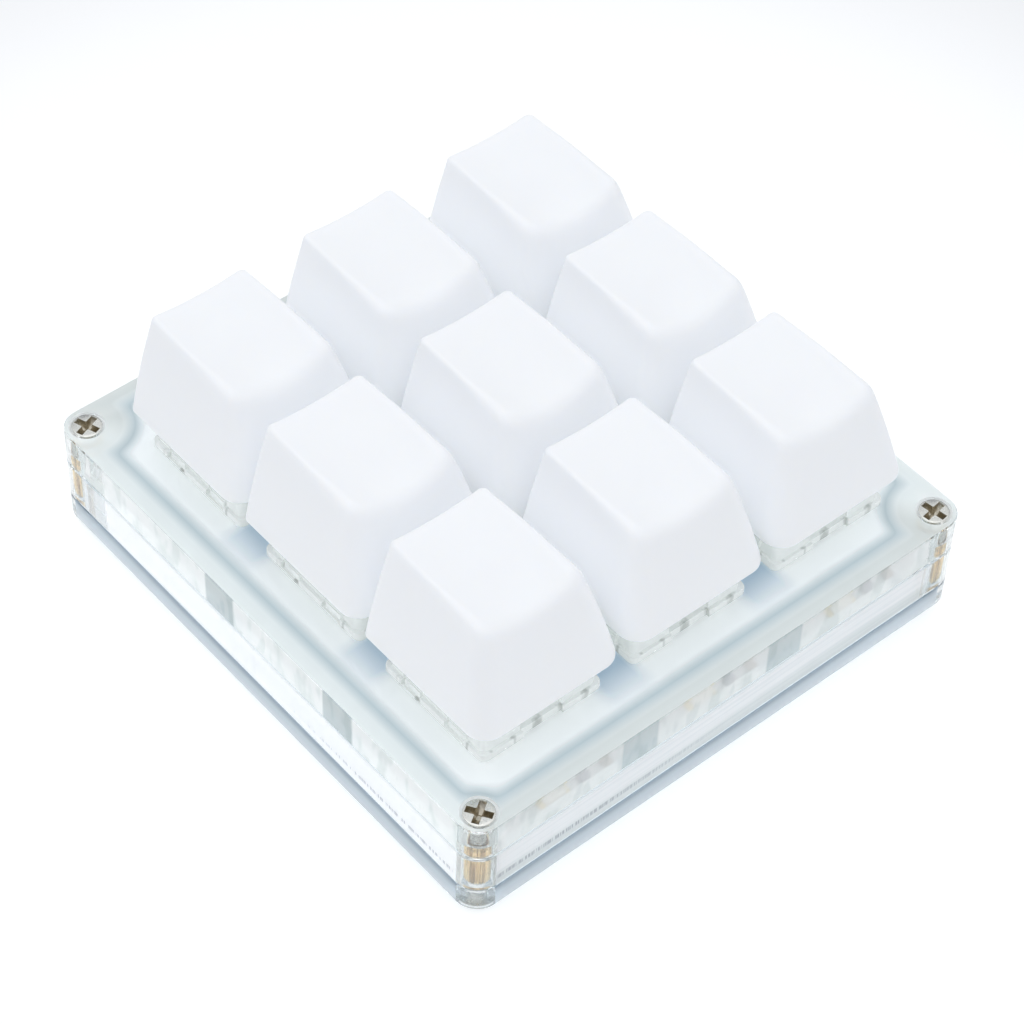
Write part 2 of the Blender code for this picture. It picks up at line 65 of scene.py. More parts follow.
# Levels and places taken from the CAD nodes
COVER_LOW, COVER_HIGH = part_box("top_cover")
FRAME_LOW, FRAME_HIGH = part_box("middle_frame")
BASE_LOW, BASE_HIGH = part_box("bottom_plate")
BOARD_LOW, BOARD_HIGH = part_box("circuit_board")
SCREW_LOW, SCREW_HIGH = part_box("cover_screw_front_left")
STANDOFF_LOW, STANDOFF_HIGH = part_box("standoff_front_left")
SOCKET_LOW, SOCKET_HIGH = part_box("usb_socket")
HOUSING_LOW, HOUSING_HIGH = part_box("switch_housing_1")
STEM_LOW, STEM_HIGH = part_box("stem_1")
SPRING_LOW, SPRING_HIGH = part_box("spring_1")
CAP_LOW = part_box("keycap_1")[0]
CAP_MIDDLE_LOW, CAP_MIDDLE_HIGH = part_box("keycap_5")
CASE_WIDTH = COVER_HIGH.x - COVER_LOW.x
CASE_DEPTH = COVER_HIGH.y - COVER_LOW.y
COVER_TOP = COVER_HIGH.z
SCREW_X = (STANDOFF_LOW.x + STANDOFF_HIGH.x) / -2
SCREW_Y = (STANDOFF_LOW.y + STANDOFF_HIGH.y) / -2
KEY_COUNT = 9
KEY_PITCH = 19.05 * MM
KEYS_MIDDLE = (CAP_MIDDLE_LOW.y + CAP_MIDDLE_HIGH.y) / 2

# Case
CASE_CORNER_RADIUS = 2.7 * MM
CASE_WALL = 3.4 * MM
BOSS_RADIUS = 2.6 * MM
CASE_EDGE = 0.12 * MM                 # broken edge on every case layer
COVER_SKIN = 1.5 * MM
SWITCH_HOLE = 14.0 * MM

# Keycaps
CAP_SKIRT_HALF = 9.0 * MM
CAP_TOP_HALVES = (6.15 * MM, 5.75 * MM)     # at the front and the back
CAP_SIDE_BULGE = 0.25 * MM
CAP_TOP_FRONT = -5.7 * MM
CAP_TOP_BACK = 8.9 * MM
CAP_HEIGHT_FRONT = 11.6 * MM
CAP_HEIGHT_BACK = 11.4 * MM
CAP_DISH_FRONT = 1.7 * MM
CAP_DISH_BACK = 0.5 * MM
CAP_SKIRT_RADII = (2.4 * MM, 0.8 * MM)      # front and back corners
CAP_TOP_RADII = (1.9 * MM, 0.7 * MM)
CAP_LEAST_RADIUS = 0.3 * MM
CAP_WALL = 1.4 * MM
CAP_CEILING_FRACTION = 0.86
CAP_POST_RADIUS = 2.8 * MM
CROSS_REACH = 2.0 * MM
CROSS_HALF_WIDTH = 0.65 * MM
CROSS_HEIGHT = 3.6 * MM

CORNERS = {
    "front_left": (-1, -1),
    "front_right": (1, -1),
    "back_right": (1, 1),
    "back_left": (-1, 1),
}


# Outlines --------------------------------------

def blend(low, high, fraction):
    return low + (high - low) * fraction


def arc(centre, radius, start, end, steps):
    """Points on an arc, from the start angle to the end angle, both included."""
    angles = [blend(start, end, step / steps) for step in range(steps + 1)]
    return [Vector((centre[0] + radius * cos(a), centre[1] + radius * sin(a))) for a in angles]


def circle(radius, steps, centre=(0.0, 0.0)):
    return arc(centre, radius, 0.0, 2 * pi, steps)[:-1]


def rounded_rectangle(width, depth, radius, steps, centre=(0.0, 0.0)):
    """Counter-clockwise outline."""
    across = width / 2 - radius
    along = depth / 2 - radius
    outline = []
    for quarter, (side_x, side_y) in enumerate([(1, 1), (-1, 1), (-1, -1), (1, -1)]):
        start = quarter * pi / 2
        corner = (centre[0] + side_x * across, centre[1] + side_y * along)
        outline += arc(corner, radius, start, start + pi / 2, steps)
    return outline


def rectangle(width, depth, centre=(0.0, 0.0)):
    return [Vector((centre[0] + x * width / 2, centre[1] + y * depth / 2))
            for x, y in [(-1, -1), (1, -1), (1, 1), (-1, 1)]]


def cross_outline(reach, half_width):
    """Plus sign about the origin, counter-clockwise."""
    arm = [Vector((half_width, half_width)), Vector((reach, half_width)), Vector((reach, -half_width))]
    outline = []
    for quarter in range(4):
        turn = Matrix.Rotation(-quarter * pi / 2, 2)
        outline += [turn @ point for point in arm]
    return outline[::-1]


def cavity_outline(clearance, steps=16):
    """Inside of the case walls, bending in round the four corner bosses."""
    half_x = CASE_WIDTH / 2 - CASE_WALL - clearance
    half_y = CASE_DEPTH / 2 - CASE_WALL - clearance
    radius = BOSS_RADIUS + clearance
    beyond_x = SCREW_X - half_x
    beyond_y = SCREW_Y - half_y
    start = atan2(-sqrt(radius ** 2 - beyond_x ** 2), -beyond_x)
    end = atan2(-beyond_y, -sqrt(radius ** 2 - beyond_y ** 2))
    quarter = arc((SCREW_X, SCREW_Y), radius, start, end, steps)
    outline = []
    for side_x, side_y in [(1, 1), (-1, 1), (-1, -1), (1, -1)]:
        mirrored = [Vector((side_x * point.x, side_y * point.y)) for point in quarter]
        outline += mirrored if side_x == side_y else mirrored[::-1]
    return outline


# Meshes ----------------------------------------

def raised(outline, z):
    return [Vector((point.x, point.y, z)) for point in outline]


def lofted(rings):
    """Closed mesh through rings of equal length, with a flat face on each end ring."""
    mesh = bpy.data.meshes.new("lofted")
    count = len(rings[0])
    vertices = [point for ring in rings for point in ring]
    faces = []
    for level in range(len(rings) - 1):
        low = level * count
        high = low + count
        for i in range(count):
            j = (i + 1) % count
            faces.append((low + i, low + j, high + j, high + i))
    last = (len(rings) - 1) * count
    faces.append(tuple(range(last, last + count)))
    faces.append(tuple(reversed(range(count))))
    mesh.from_pydata(vertices, [], faces)
    return mesh


def prism(outline, low, high):
    return lofted([raised(outline, low), raised(outline, high)])


def block(width, depth, radius, steps, levels, centre=(0.0, 0.0)):
    """Rounded block through (inset, z) levels, lowest first."""
    return lofted([raised(rounded_rectangle(width - 2 * inset, depth - 2 * inset, radius, steps, centre), z)
                   for inset, z in levels])


def turned(profile, steps, centre=(0.0, 0.0)):
    """Solid of revolution about an upright axis, from (radius, z) pairs, lowest first."""
    return lofted([raised(circle(radius, steps, centre), z) for radius, z in profile])


def gathered(meshes):
    """One mesh that holds several separate shapes."""
    collector = bmesh.new()
    for mesh in meshes:
        collector.from_mesh(mesh)
        bpy.data.meshes.remove(mesh)
    result = bpy.data.meshes.new("gathered")
    collector.to_mesh(result)
    collector.free()
    return result


def combined(mesh, tool_mesh, operation):
    """The result of an exact Boolean between two meshes, which are used up."""
    body = bpy.data.objects.new("body", mesh)
    tool = bpy.data.objects.new("tool", tool_mesh)
    for piece in (body, tool):
        bpy.context.scene.collection.objects.link(piece)
    boolean = body.modifiers.new("boolean", "BOOLEAN")
    boolean.operation = operation
    boolean.solver = "EXACT"
    boolean.object = tool
    bpy.context.view_layer.update()
    depsgraph = bpy.context.evaluated_depsgraph_get()
    result = bpy.data.meshes.new_from_object(body.evaluated_get(depsgraph))
    for piece in (body, tool):
        bpy.data.objects.remove(piece)
    for used in (mesh, tool_mesh):
        bpy.data.meshes.remove(used)
    return result


def cut(mesh, *tools):
    return combined(mesh, gathered(tools), "DIFFERENCE")


def joined(mesh, tool):
    return combined(mesh, tool, "UNION")


def sorted_faces(mesh, choose):
    """Gives each face the material slot that choose returns for its centre and normal."""
    for face in mesh.polygons:
        face.material_index = choose(face.center, face.normal)
    return mesh


def piece(name, mesh, looks, slot, replaced=None, body="case", location=(0.0, 0.0, 0.0), smooth=SMOOTH_ANGLE,
          turn_x=0.0, turn_z=0.0):
    """Named object that rides on a CAD body and may stand for the CAD node it replaces."""
    mesh.shade_smooth()
    mesh.set_sharp_from_angle(angle=smooth)
    if not mesh.materials:
        for look in looks:
            mesh.materials.append(look)
    made = bpy.data.objects.new(name, mesh)
    made.location = location
    made.rotation_euler = (turn_x, 0.0, turn_z)
    bpy.context.scene.collection.objects.link(made)
    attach(made, body)
    if replaced:
        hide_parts(replaced)
    return made


# Materials -------------------------------------

WHITE = (1.0, 1.0, 1.0)
SIDE_SHIFT = 2.5 * MM                 # how far the painted shade of the gaps seen through the sides lies towards the front left
RIM_DEPTH = 6.8 * MM                  # width of the cover's upper face over which the painted shade of its wall runs
LINE_INSET = 2.65 * MM                # from the case's outside to the painted dark line of shade along its wall
BOSS_LINE = 5.0 * MM                  # from a screw's axis to the painted dark line of shade that bends round its boss
NEAR_BOSS_LINE = 2.2 * MM             # the same at the front left corner
BEND_SOFTNESS = 1.5 * MM
HALF_GAP = 2.6 * MM                   # of the painted blue shadows in the gaps between the switches
GAP_FADE = (25.2 * MM, 29.6 * MM)     # distances from the middle between which the painted gap shadows fade
DASHES_LOW = (5.6 * MM, 5.8 * MM)     # heights between which the row of dashes sets in
DASHES_HIGH = (6.15 * MM, 6.4 * MM)   # and ends
# Heights between which the painted shade along the foot of the frame's sides fades out.
FOOT_SHADE_HIGH = (6.2 * MM, 6.8 * MM)


class Nodes:
    """Short calls that add nodes to a tree."""

    def __init__(self, tree, coordinates="Object"):
        self.tree = tree
        self.coordinates = tree.nodes.new("ShaderNodeTexCoord").outputs[coordinates]

    def join(self, socket, value):
        """Links a socket to another, or sets it to a number or a colour."""
        if isinstance(value, bpy.types.NodeSocket):
            self.tree.links.new(value, socket)
        elif isinstance(value, tuple) and len(value) == 3 and socket.type == "RGBA":
            socket.default_value = (*value, 1.0)
        else:
            socket.default_value = value

    def fill(self, node, sockets):
        """Joins sockets by name, written with _ for a space."""
        for name, value in sockets.items():
            self.join(node.inputs[name.replace("_", " ")], value)

    def node(self, kind, **sockets):
        made = self.tree.nodes.new("ShaderNode" + kind)
        self.fill(made, sockets)
        return made

    def axes(self):
        split = self.node("SeparateXYZ", Vector=self.coordinates)
        return split.outputs["X"], split.outputs["Y"], split.outputs["Z"]

    def math(self, operation, *values):
        made = self.node("Math")
        made.operation = operation
        for socket, value in zip(made.inputs, values):
            self.join(socket, value)
        return made.outputs["Value"]

    def less(self, value, taken):
        return self.math("SUBTRACT", value, taken)

    def product(self, first, second):
        return self.math("MULTIPLY", first, second)

    def size(self, value):
        return self.math("ABSOLUTE", value)

    def distance(self, x, y):
        return self.math("SQRT", self.math("ADD", self.product(x, x), self.product(y, y)))

    def spread(self, value, low, high, start=0.0, end=1.0):
        """Runs from start to end as the value goes from low to high."""
        return self.node("MapRange", Value=value, From_Min=low, From_Max=high, To_Min=start,
                         To_Max=end).outputs["Result"]

    def ramp(self, value, *stops):
        """Colour or grey that runs through (position, colour) stops."""
        made = self.node("ValToRGB", Fac=value)
        elements = made.color_ramp.elements
        while len(elements) < len(stops):
            elements.new(0.5)
        for element, (position, color) in zip(elements, stops):
            element.position = position
            element.color = (*color, 1.0) if isinstance(color, tuple) else (color, color, color, 1.0)
        return made.outputs["Color"]

    def mark(self, share, color):
        """White that turns into the colour as the share goes from zero to one."""
        return self.ramp(share, (0.0, WHITE), (1.0, color))

    def times(self, color, *others):
        """Product of colours."""
        for other in others:
            made = self.node("Mix")
            made.data_type = "RGBA"
            made.blend_type = "MULTIPLY"
            made.inputs["Factor"].default_value = 1.0
            color_inputs = [socket for socket in made.inputs if socket.type == "RGBA"]
            self.join(color_inputs[0], color)
            self.join(color_inputs[1], other)
            color = next(socket for socket in made.outputs if socket.type == "RGBA")
        return color

    def noise(self, scale, detail=3.0, roughness=0.5, vector=None):
        return self.node("TexNoise", Vector=vector or self.coordinates, Scale=scale,
                         Detail=detail, Roughness=roughness).outputs["Fac"]

    def streaks(self, scales, detail=2.0, roughness=0.5):
        """Noise with a scale of its own along each axis, and so drawn out along the one with the least."""
        stretched = self.node("Mapping", Vector=self.coordinates, Scale=scales).outputs["Vector"]
        return self.noise(1.0, detail, roughness, stretched)


class Look(Nodes):
    """A node material in the making, with its Principled shader."""

    def __init__(self, name, **sockets):
        self.material = bpy.data.materials.new(name)
        self.material.use_nodes = True
        super().__init__(self.material.node_tree)
        self.shader = self.tree.nodes["Principled BSDF"]
        self.put(**sockets)

    def put(self, **sockets):
        """Joins sockets of the shader."""
        self.fill(self.shader, sockets)

    def bump(self, height, distance, strength=1.0):
        bumped = self.node("Bump", Height=height, Distance=distance, Strength=strength)
        self.put(Normal=bumped.outputs["Normal"])

    def see_through(self, tint, scattered=True):
        """Lets shadow rays, and scattered light too, go straight through to what is behind."""
        path = self.node("LightPath").outputs
        straight = path["Is Shadow Ray"]
        if scattered:
            straight = self.math("MAXIMUM", straight, path["Is Diffuse Ray"])
        passing = self.node("BsdfTransparent", Color=tint)
        mix = self.node("MixShader", Fac=straight)
        self.join(mix.inputs[1], self.shader.outputs["BSDF"])
        self.join(mix.inputs[2], passing.outputs["BSDF"])
        self.join(self.tree.nodes["Material Output"].inputs["Surface"], mix.outputs["Shader"])

    def between_keys(self, place, middle, half_gap, soft):
        """One midway between neighbouring keys along an axis, falling to zero over the switches."""
        from_middle = self.less(place, middle)
        wave = self.math("PINGPONG", from_middle, KEY_PITCH / 2)
        edge = KEY_PITCH / 2 - half_gap
        gap = self.spread(wave, edge - soft, edge + soft)
        return self.product(gap, self.spread(self.size(from_middle), KEY_PITCH, KEY_PITCH + MM, 1.0, 0.0))

    def beside_far_corners(self, start, end):
        """Start on the clear ends of the sides at the back left and front right, end elsewhere."""
        x, y, _ = self.axes()
        return self.spread(self.size(self.math("ADD", x, y)), 6.8 * MM, 7.3 * MM, start, end)


def milky_plastic():
    """Keycap: translucent white plastic with a fine moulded grain, and a faint emission that paints a glow
    for the light it scatters inside.
    """
    # Emission_Strength is a painted glow that lifts the whole cap evenly.
    look = Look("milky_keycap", Base_Color=(0.93, 0.945, 0.97), IOR=1.46, Subsurface_Weight=0.6,
                Subsurface_Radius=(1.0, 1.05, 1.15), Subsurface_Scale=1.2 * MM,
                Emission_Color=(0.97, 0.98, 1.0), Emission_Strength=0.065)
    look.put(Roughness=look.ramp(look.noise(700.0), (0.3, 0.44), (0.7, 0.54)))
    look.bump(look.noise(9000.0, 4.0), 0.02 * MM, 0.5)
    look.see_through((0.62, 0.66, 0.70), scattered=False)
    return look.material


def clear_plastic(name, tint, roughness, specks, transmission=1.0):
    """Clear solid plastic with faint scuffs in its polish."""
    look = Look(name, Base_Color=tint, IOR=1.49, Transmission_Weight=transmission)
    scuffs = look.noise(specks, 5.0, 0.6)
    look.put(Roughness=look.ramp(scuffs, (0.45, roughness), (0.8, roughness + 0.1)))
    look.see_through(tint)
    return look


def polished_look():
    """Polished acrylic with faint upright waves."""
    look = clear_plastic("clear_acrylic", (0.97, 0.985, 0.98), 0.02, 400.0)
    look.bump(look.streaks((2600.0, 2600.0, 60.0)), 0.01 * MM, 0.35)
    return look.material


def frosted_look():
    """Blasted upper face: milky, with painted shade standing for what lies under it: a blurred dark line
    along the cavity's wall that bends round the bosses, blue shadows in the gaps between switches, a greyer
    rim band that is darker on the front and back, and a painted glow.
    """
    # Emission_Strength makes the painted colours glow: painted light.
    look = Look("frosted_acrylic", IOR=1.49, Transmission_Weight=0.3, Emission_Strength=0.19)
    x, y, _ = look.axes()
    across, along = look.size(x), look.size(y)
    beyond_x = look.less(across, CASE_WIDTH / 2)
    beyond_y = look.less(along, CASE_DEPTH / 2)
    beyond_wall = look.math("MAXIMUM", beyond_x, beyond_y)
    from_screw = look.distance(look.less(across, SCREW_X), look.less(along, SCREW_Y))
    reach = look.spread(look.math("ADD", x, y), -56 * MM, -46 * MM, NEAR_BOSS_LINE, BOSS_LINE)
    beyond_boss = look.less(look.less(reach, LINE_INSET), from_screw)
    beyond = look.math("SMOOTH_MAX", beyond_wall, beyond_boss, BEND_SOFTNESS)
    share = look.spread(beyond, -RIM_DEPTH, 0.0)
    # Painted shade: light inside, a blurred dark line over the cavity's wall, then a greyer band out to the
    # edge.
    wall = look.ramp(share, (0.0, (0.98, 1.0, 1.0)), (0.42, (0.95, 0.98, 0.99)), (0.61, (0.45, 0.535, 0.565)),
                     (0.78, (0.80, 0.84, 0.845)), (1.0, (0.86, 0.89, 0.885)))
    # Painted blue shadows in the gaps between neighbouring switches, fading towards the case's sides.
    gaps = []
    for place, middle, outward in [(y, KEYS_MIDDLE, across), (x, 0.0, look.size(look.less(y, KEYS_MIDDLE)))]:
        gap = look.between_keys(place, middle, HALF_GAP, 0.8 * MM)
        gaps.append(look.product(gap, look.spread(outward, *GAP_FADE, 1.0, 0.0)))
    # Painted shade over the rim band, darker again on the front and back sides.
    rim_shade = look.spread(share, 0.64, 0.82)
    front_back_shade = look.spread(look.less(beyond_y, beyond_x), -2.0 * MM, 2.0 * MM)
    color = look.times(wall, look.mark(look.math("MAXIMUM", *gaps), (0.42, 0.54, 0.67)),
                       look.mark(rim_shade, (0.91, 0.92, 0.91)),
                       look.mark(look.product(rim_shade, front_back_shade), (0.84, 0.84, 0.83)))
    look.put(Base_Color=color, Emission_Color=color)
    look.put(Roughness=look.ramp(look.noise(900.0, 5.0, 0.6), (0.45, 0.38), (0.8, 0.48)))
    look.bump(look.noise(6000.0, 4.0), 0.01 * MM, 0.12)
    look.see_through((0.97, 0.985, 0.99))
    return look.material


def striated_look(name, shade, foot_shade, glow):
    """Saw-cut side of the middle frame: fine lines, a low row of dashes from the front left corner, painted
    shade over the whole side and darker at its foot, by the shade and foot shade given, and a painted glow.
    """
    look = Look(name, IOR=1.49, Emission_Color=(0.99, 0.995, 1.0))
    x, y, height = look.axes()
    cuts = look.streaks((3400.0, 3400.0, 260.0), 4.0, 0.65)
    # The shade scales the colour: painted shade that differs with the way the side faces.
    bright = tuple(channel * shade for channel in (0.97, 0.98, 0.985))
    upright = look.ramp(cuts, (0.36, (0.84, 0.86, 0.865)), (0.50, bright))
    level = look.ramp(look.streaks((50.0, 50.0, 3400.0), 3.0, 0.6), (0.38, (0.88, 0.90, 0.91)), (0.54, WHITE))
    in_row = look.product(look.spread(height, *DASHES_LOW), look.spread(height, *DASHES_HIGH, 1.0, 0.0))
    strokes = look.spread(look.streaks((4200.0, 4200.0, 150.0)), 0.46, 0.52)
    nearness = look.spread(look.math("ADD", x, y), -52 * MM, -34 * MM, 1.0, 0.0)
    dashes = look.mark(look.product(in_row, look.product(strokes, nearness)), (0.46, 0.47, 0.52))
    # Painted shade along the foot of the side.
    foot = look.mark(look.spread(height, *FOOT_SHADE_HIGH, 1.0, 0.0), foot_shade)
    # Emission_Strength is a painted glow, faint beside the far corners.
    look.put(Base_Color=look.times(upright, level, dashes, foot),
             Roughness=look.beside_far_corners(0.05, 0.3),
             Transmission_Weight=look.beside_far_corners(0.9, 0.35),
             Emission_Strength=look.beside_far_corners(0.02, glow))
    look.bump(cuts, 0.03 * MM, 0.5)
    look.see_through((0.85, 0.86, 0.87))
    return look.material


def side_look(name, axis, middle, shade, gap_shade, glow):
    """Clear side of the cover: white switches behind it, painted grey shade in the gaps between them, an
    overall painted shade and a painted glow that differ with the way the side faces, and fine saw lines.
    """
    look = Look(name, Roughness=0.08, IOR=1.49)
    # Painted shade in the gaps between the switches behind the side.
    gap = look.between_keys(look.axes()[axis], middle, 2.3 * MM, 0.15 * MM)
    lines = look.streaks((420.0, 420.0, 160.0))
    clear = look.ramp(lines, (0.38, (0.80, 0.84, 0.83)), (0.47, (0.95, 0.965, 0.96)),
                      (0.62, (0.99, 0.99, 0.985)),
                      (0.68, (0.84, 0.875, 0.87)))
    gap_shadow_color = tuple(gap_shade * channel for channel in (0.89, 0.98, 1.0))
    color = look.times(clear, look.ramp(gap, (0.0, shade), (1.0, gap_shadow_color)))
    # Emission_Strength is a painted glow, faint beside the far corners.
    look.put(Base_Color=color, Emission_Color=color, Transmission_Weight=look.beside_far_corners(0.9, 0.55),
             Emission_Strength=look.beside_far_corners(0.02, glow))
    look.bump(look.streaks((1800.0, 1800.0, 60.0), 3.0), 0.01 * MM, 0.3)
    look.see_through((0.85, 0.87, 0.87))
    return look.material


def machined_look():
    """Milled wall of a cavity or a hole: milky, with upright lines and a painted glow that keeps it light."""
    look = Look("machined_acrylic", Base_Color=(0.96, 0.975, 0.98), Roughness=0.35, IOR=1.49,
                Transmission_Weight=0.25, Emission_Color=(0.97, 0.99, 1.0), Emission_Strength=0.14)
    look.bump(look.streaks((3500.0, 3500.0, 120.0), 3.0, 0.6), 0.06 * MM, 0.8)
    look.see_through((0.8, 0.8, 0.8))
    return look.material


def banded_look():
    """Side of the bottom plate: painted blue grey shade, darkest along its upper edge."""
    look = Look("banded_acrylic", Roughness=0.12, IOR=1.49, Transmission_Weight=0.3)
    share = look.spread(look.axes()[2], BASE_LOW.z, BASE_HIGH.z)
    # Painted shade that darkens up the side towards its upper edge.
    look.put(Base_Color=look.ramp(share, (0.0, (0.84, 0.90, 0.94)), (0.6, (0.64, 0.73, 0.80)),
                                  (0.95, (0.33, 0.41, 0.48))))
    look.bump(look.streaks((300.0, 300.0, 2500.0)), 0.01 * MM, 0.3)
    look.see_through((0.7, 0.76, 0.8))
    return look.material


def case_looks():
    """Looks of the case layers; x and y in a name say which way the side faces, and these copies differ in
    painted shade and painted glow.
    """
    return {
        "polished": polished_look(),
        "corner": clear_plastic("corner_acrylic", (0.85, 0.875, 0.87), 0.02, 400.0, 0.86).material,
        "frosted": frosted_look(),
        "machined": machined_look(),
        "striated_x": striated_look("striated_x", 1.0, WHITE, 0.16),
        "striated_y": striated_look("striated_y", 0.88, (0.78, 0.82, 0.81), 0.05),
        "tinted": clear_plastic("tinted_acrylic", (0.92, 0.95, 0.97), 0.03, 400.0, 0.92).material,
        "banded": banded_look(),
        "side_x": side_look("cover_side_x", 1, KEYS_MIDDLE - SIDE_SHIFT, 1.0, 0.60, 0.11),
        "side_y": side_look("cover_side_y", 0, -SIDE_SHIFT, 0.88, 0.66, 0.05),
    }


def metal(name, color, roughness, scales, depth, dark_streaks=None):
    """Metal with brushed or cut streaks, and a darker colour along part of them."""
    look = Look(name, Base_Color=color, Metallic=1.0)
    streaks = look.streaks(scales, 4.0, 0.6)
    if dark_streaks:
        look.put(Base_Color=look.ramp(streaks, (0.40, dark_streaks), (0.50, color)))
    look.put(Roughness=look.ramp(streaks, (0.3, roughness * 0.7), (0.75, roughness * 1.5)))
    look.bump(streaks, depth, 0.6)
    return look.material


def moulded(name, color, roughness, speckle):
    """Opaque plastic, resin or ceramic with a fine grain."""
    look = Look(name, Roughness=roughness)
    grain = look.noise(5000.0, 4.0)
    darker = tuple(channel * (1 - speckle) for channel in color)
    look.put(Base_Color=look.ramp(grain, (0.35, darker), (0.65, color)))
    look.bump(grain, 0.02 * MM, 0.5)
    return look.material


# Case ------------------------------------------

HEAD_RADIUS = 1.62 * MM
SHANK_RADIUS = 0.9 * MM
HEAD_EDGE = 0.1 * MM
STANDOFF_RADIUS = 1.5 * MM
STANDOFF_BORE = 1.1 * MM


def case_outline(inset):
    return rounded_rectangle(CASE_WIDTH - 2 * inset, CASE_DEPTH - 2 * inset,
                             CASE_CORNER_RADIUS - inset, 14)


def case_layer(low, high):
    """Slab of the case's outline with broken edges."""
    return lofted([raised(case_outline(CASE_EDGE), low), raised(case_outline(0.0), low + CASE_EDGE),
                   raised(case_outline(0.0), high - CASE_EDGE), raised(case_outline(CASE_EDGE), high)])


def at_corners(profile, steps=48):
    """Turned cutters on the four corner screw axes."""
    return [turned(profile, steps, (side_x * SCREW_X, side_y * SCREW_Y))
            for side_x, side_y in CORNERS.values()]


def key_axes():
    for number in range(1, KEY_COUNT + 1):
        low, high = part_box(f"keycap_{number}")
        yield number, (low.x + high.x) / 2, (low.y + high.y) / 2


def countersink():
    """Clearance hole for a screw, from its head's flat face at zero down into the plate."""
    shank = SHANK_RADIUS + GAP
    head = HEAD_RADIUS + GAP
    return [(head, OVERSHOOT), (head, -GAP), (shank, -GAP - (head - shank))]


def on_straight_side(normal):
    """True on the four flat sides and their broken edges, which lean by 45 degrees."""
    return abs(normal.z) < 0.8 and min(abs(normal.x), abs(normal.y)) < 0.01


def on_corner(centre, normal):
    """True on the rounded outer corners of a case layer."""
    reach_x = abs(centre.x) - CASE_WIDTH / 2 + CASE_CORNER_RADIUS
    reach_y = abs(centre.y) - CASE_DEPTH / 2 + CASE_CORNER_RADIUS
    outside = sqrt(reach_x ** 2 + reach_y ** 2) > CASE_CORNER_RADIUS - 2 * CASE_EDGE
    return min(reach_x, reach_y) > 0.0 and outside and abs(normal.z) < 0.8


def near_screw(centre):
    return sqrt((abs(centre.x) - SCREW_X) ** 2 + (abs(centre.y) - SCREW_Y) ** 2) < 2.3 * MM


def picked(looks, *names):
    return [looks[name] for name in names]


def top_cover(looks):
    low = COVER_LOW.z
    skin_bottom = COVER_TOP - COVER_SKIN
    layer = case_layer(low, COVER_TOP)
    layer = cut(layer, prism(cavity_outline(0.0), low - OVERSHOOT, skin_bottom))
    holes = [prism(rounded_rectangle(SWITCH_HOLE, SWITCH_HOLE, 0.4 * MM, 4, (x, y)),
                   low, COVER_TOP + OVERSHOOT)
             for _, x, y in key_axes()]
    layer = cut(layer, *holes)
    step = STANDOFF_HIGH.z + GAP
    profile = [(STANDOFF_RADIUS + GAP, low - OVERSHOOT), (STANDOFF_RADIUS + GAP, step),
               (SHANK_RADIUS + GAP, step)]
    profile += [(radius, COVER_TOP + z) for radius, z in reversed(countersink())]
    layer = cut(layer, *at_corners(profile))

    def choose(centre, normal):
        if normal.z > 0.9 and centre.z > COVER_TOP - 0.1 * MM:
            return 1
        if on_straight_side(normal) and normal.z < -0.1 and centre.z < low + CASE_EDGE:
            return 2
        if near_screw(centre) and centre.z > COVER_TOP - COVER_SKIN and abs(normal.z) < 0.95:
            return 2
        if on_straight_side(normal) and abs(centre.x) > CASE_WIDTH / 2 - MM:
            return 3
        if on_straight_side(normal) and abs(centre.y) > CASE_DEPTH / 2 - MM:
            return 4
        return 5 if on_corner(centre, normal) else 0

    piece("top_cover_clear", sorted_faces(layer, choose),
          picked(looks, "polished", "frosted", "machined", "side_x", "side_y", "corner"),
          "frosted_acrylic", "top_cover")


def middle_frame(looks):
    low, high = FRAME_LOW.z, FRAME_HIGH.z
    ring = cut(case_layer(low, high), prism(cavity_outline(0.0), low - OVERSHOOT, high + OVERSHOOT))
    notch_width = SOCKET_HIGH.x - SOCKET_LOW.x + 2 * GAP
    notch = rectangle(notch_width, 2 * CASE_WALL, (0.0, CASE_DEPTH / 2 - CASE_WALL / 2))
    ring = cut(ring, prism(notch, SOCKET_LOW.z - GAP, high + OVERSHOOT))
    bore = STANDOFF_RADIUS + GAP
    ring = cut(ring, *at_corners([(bore, low - OVERSHOOT), (bore, high + OVERSHOOT)]))

    def choose(centre, normal):
        inside = abs(centre.x) < CASE_WIDTH / 2 - 2 * MM and abs(centre.y) < CASE_DEPTH / 2 - 2 * MM
        if inside and abs(normal.z) < 0.5 and not near_screw(centre):
            return 1
        if on_corner(centre, normal):
            return 4
        if inside or not on_straight_side(normal):
            return 0
        return 2 if abs(normal.x) > abs(normal.y) else 3

    piece("middle_frame_clear", sorted_faces(ring, choose),
          picked(looks, "polished", "machined", "striated_x", "striated_y", "corner"),
          "clear_acrylic", "middle_frame")


def bottom_plate(looks):
    plate = case_layer(BASE_LOW.z, BASE_HIGH.z)
    profile = [(radius, BASE_LOW.z - z) for radius, z in countersink()]
    profile.append((SHANK_RADIUS + GAP, BASE_HIGH.z + OVERSHOOT))
    plate = cut(plate, *at_corners(profile))

    def choose(centre, normal):
        if on_corner(centre, normal):
            return 2
        return 0 if not on_straight_side(normal) or near_screw(centre) else 1

    piece("bottom_plate_clear", sorted_faces(plate, choose), picked(looks, "tinted", "banded", "corner"),
          "tinted_acrylic", "bottom_plate")


# Keycaps ---------------------------------------

CREST_START = (0.965, 0.86)           # share of the height where the rounding starts, at the back and front
CREST_INSET = (0.5 * MM, 1.5 * MM)    # where the rounding meets the dish, at the back and front
CREST_STEPS = 8
LIP = 0.2 * MM                        # rounding of the skirt's lower edge


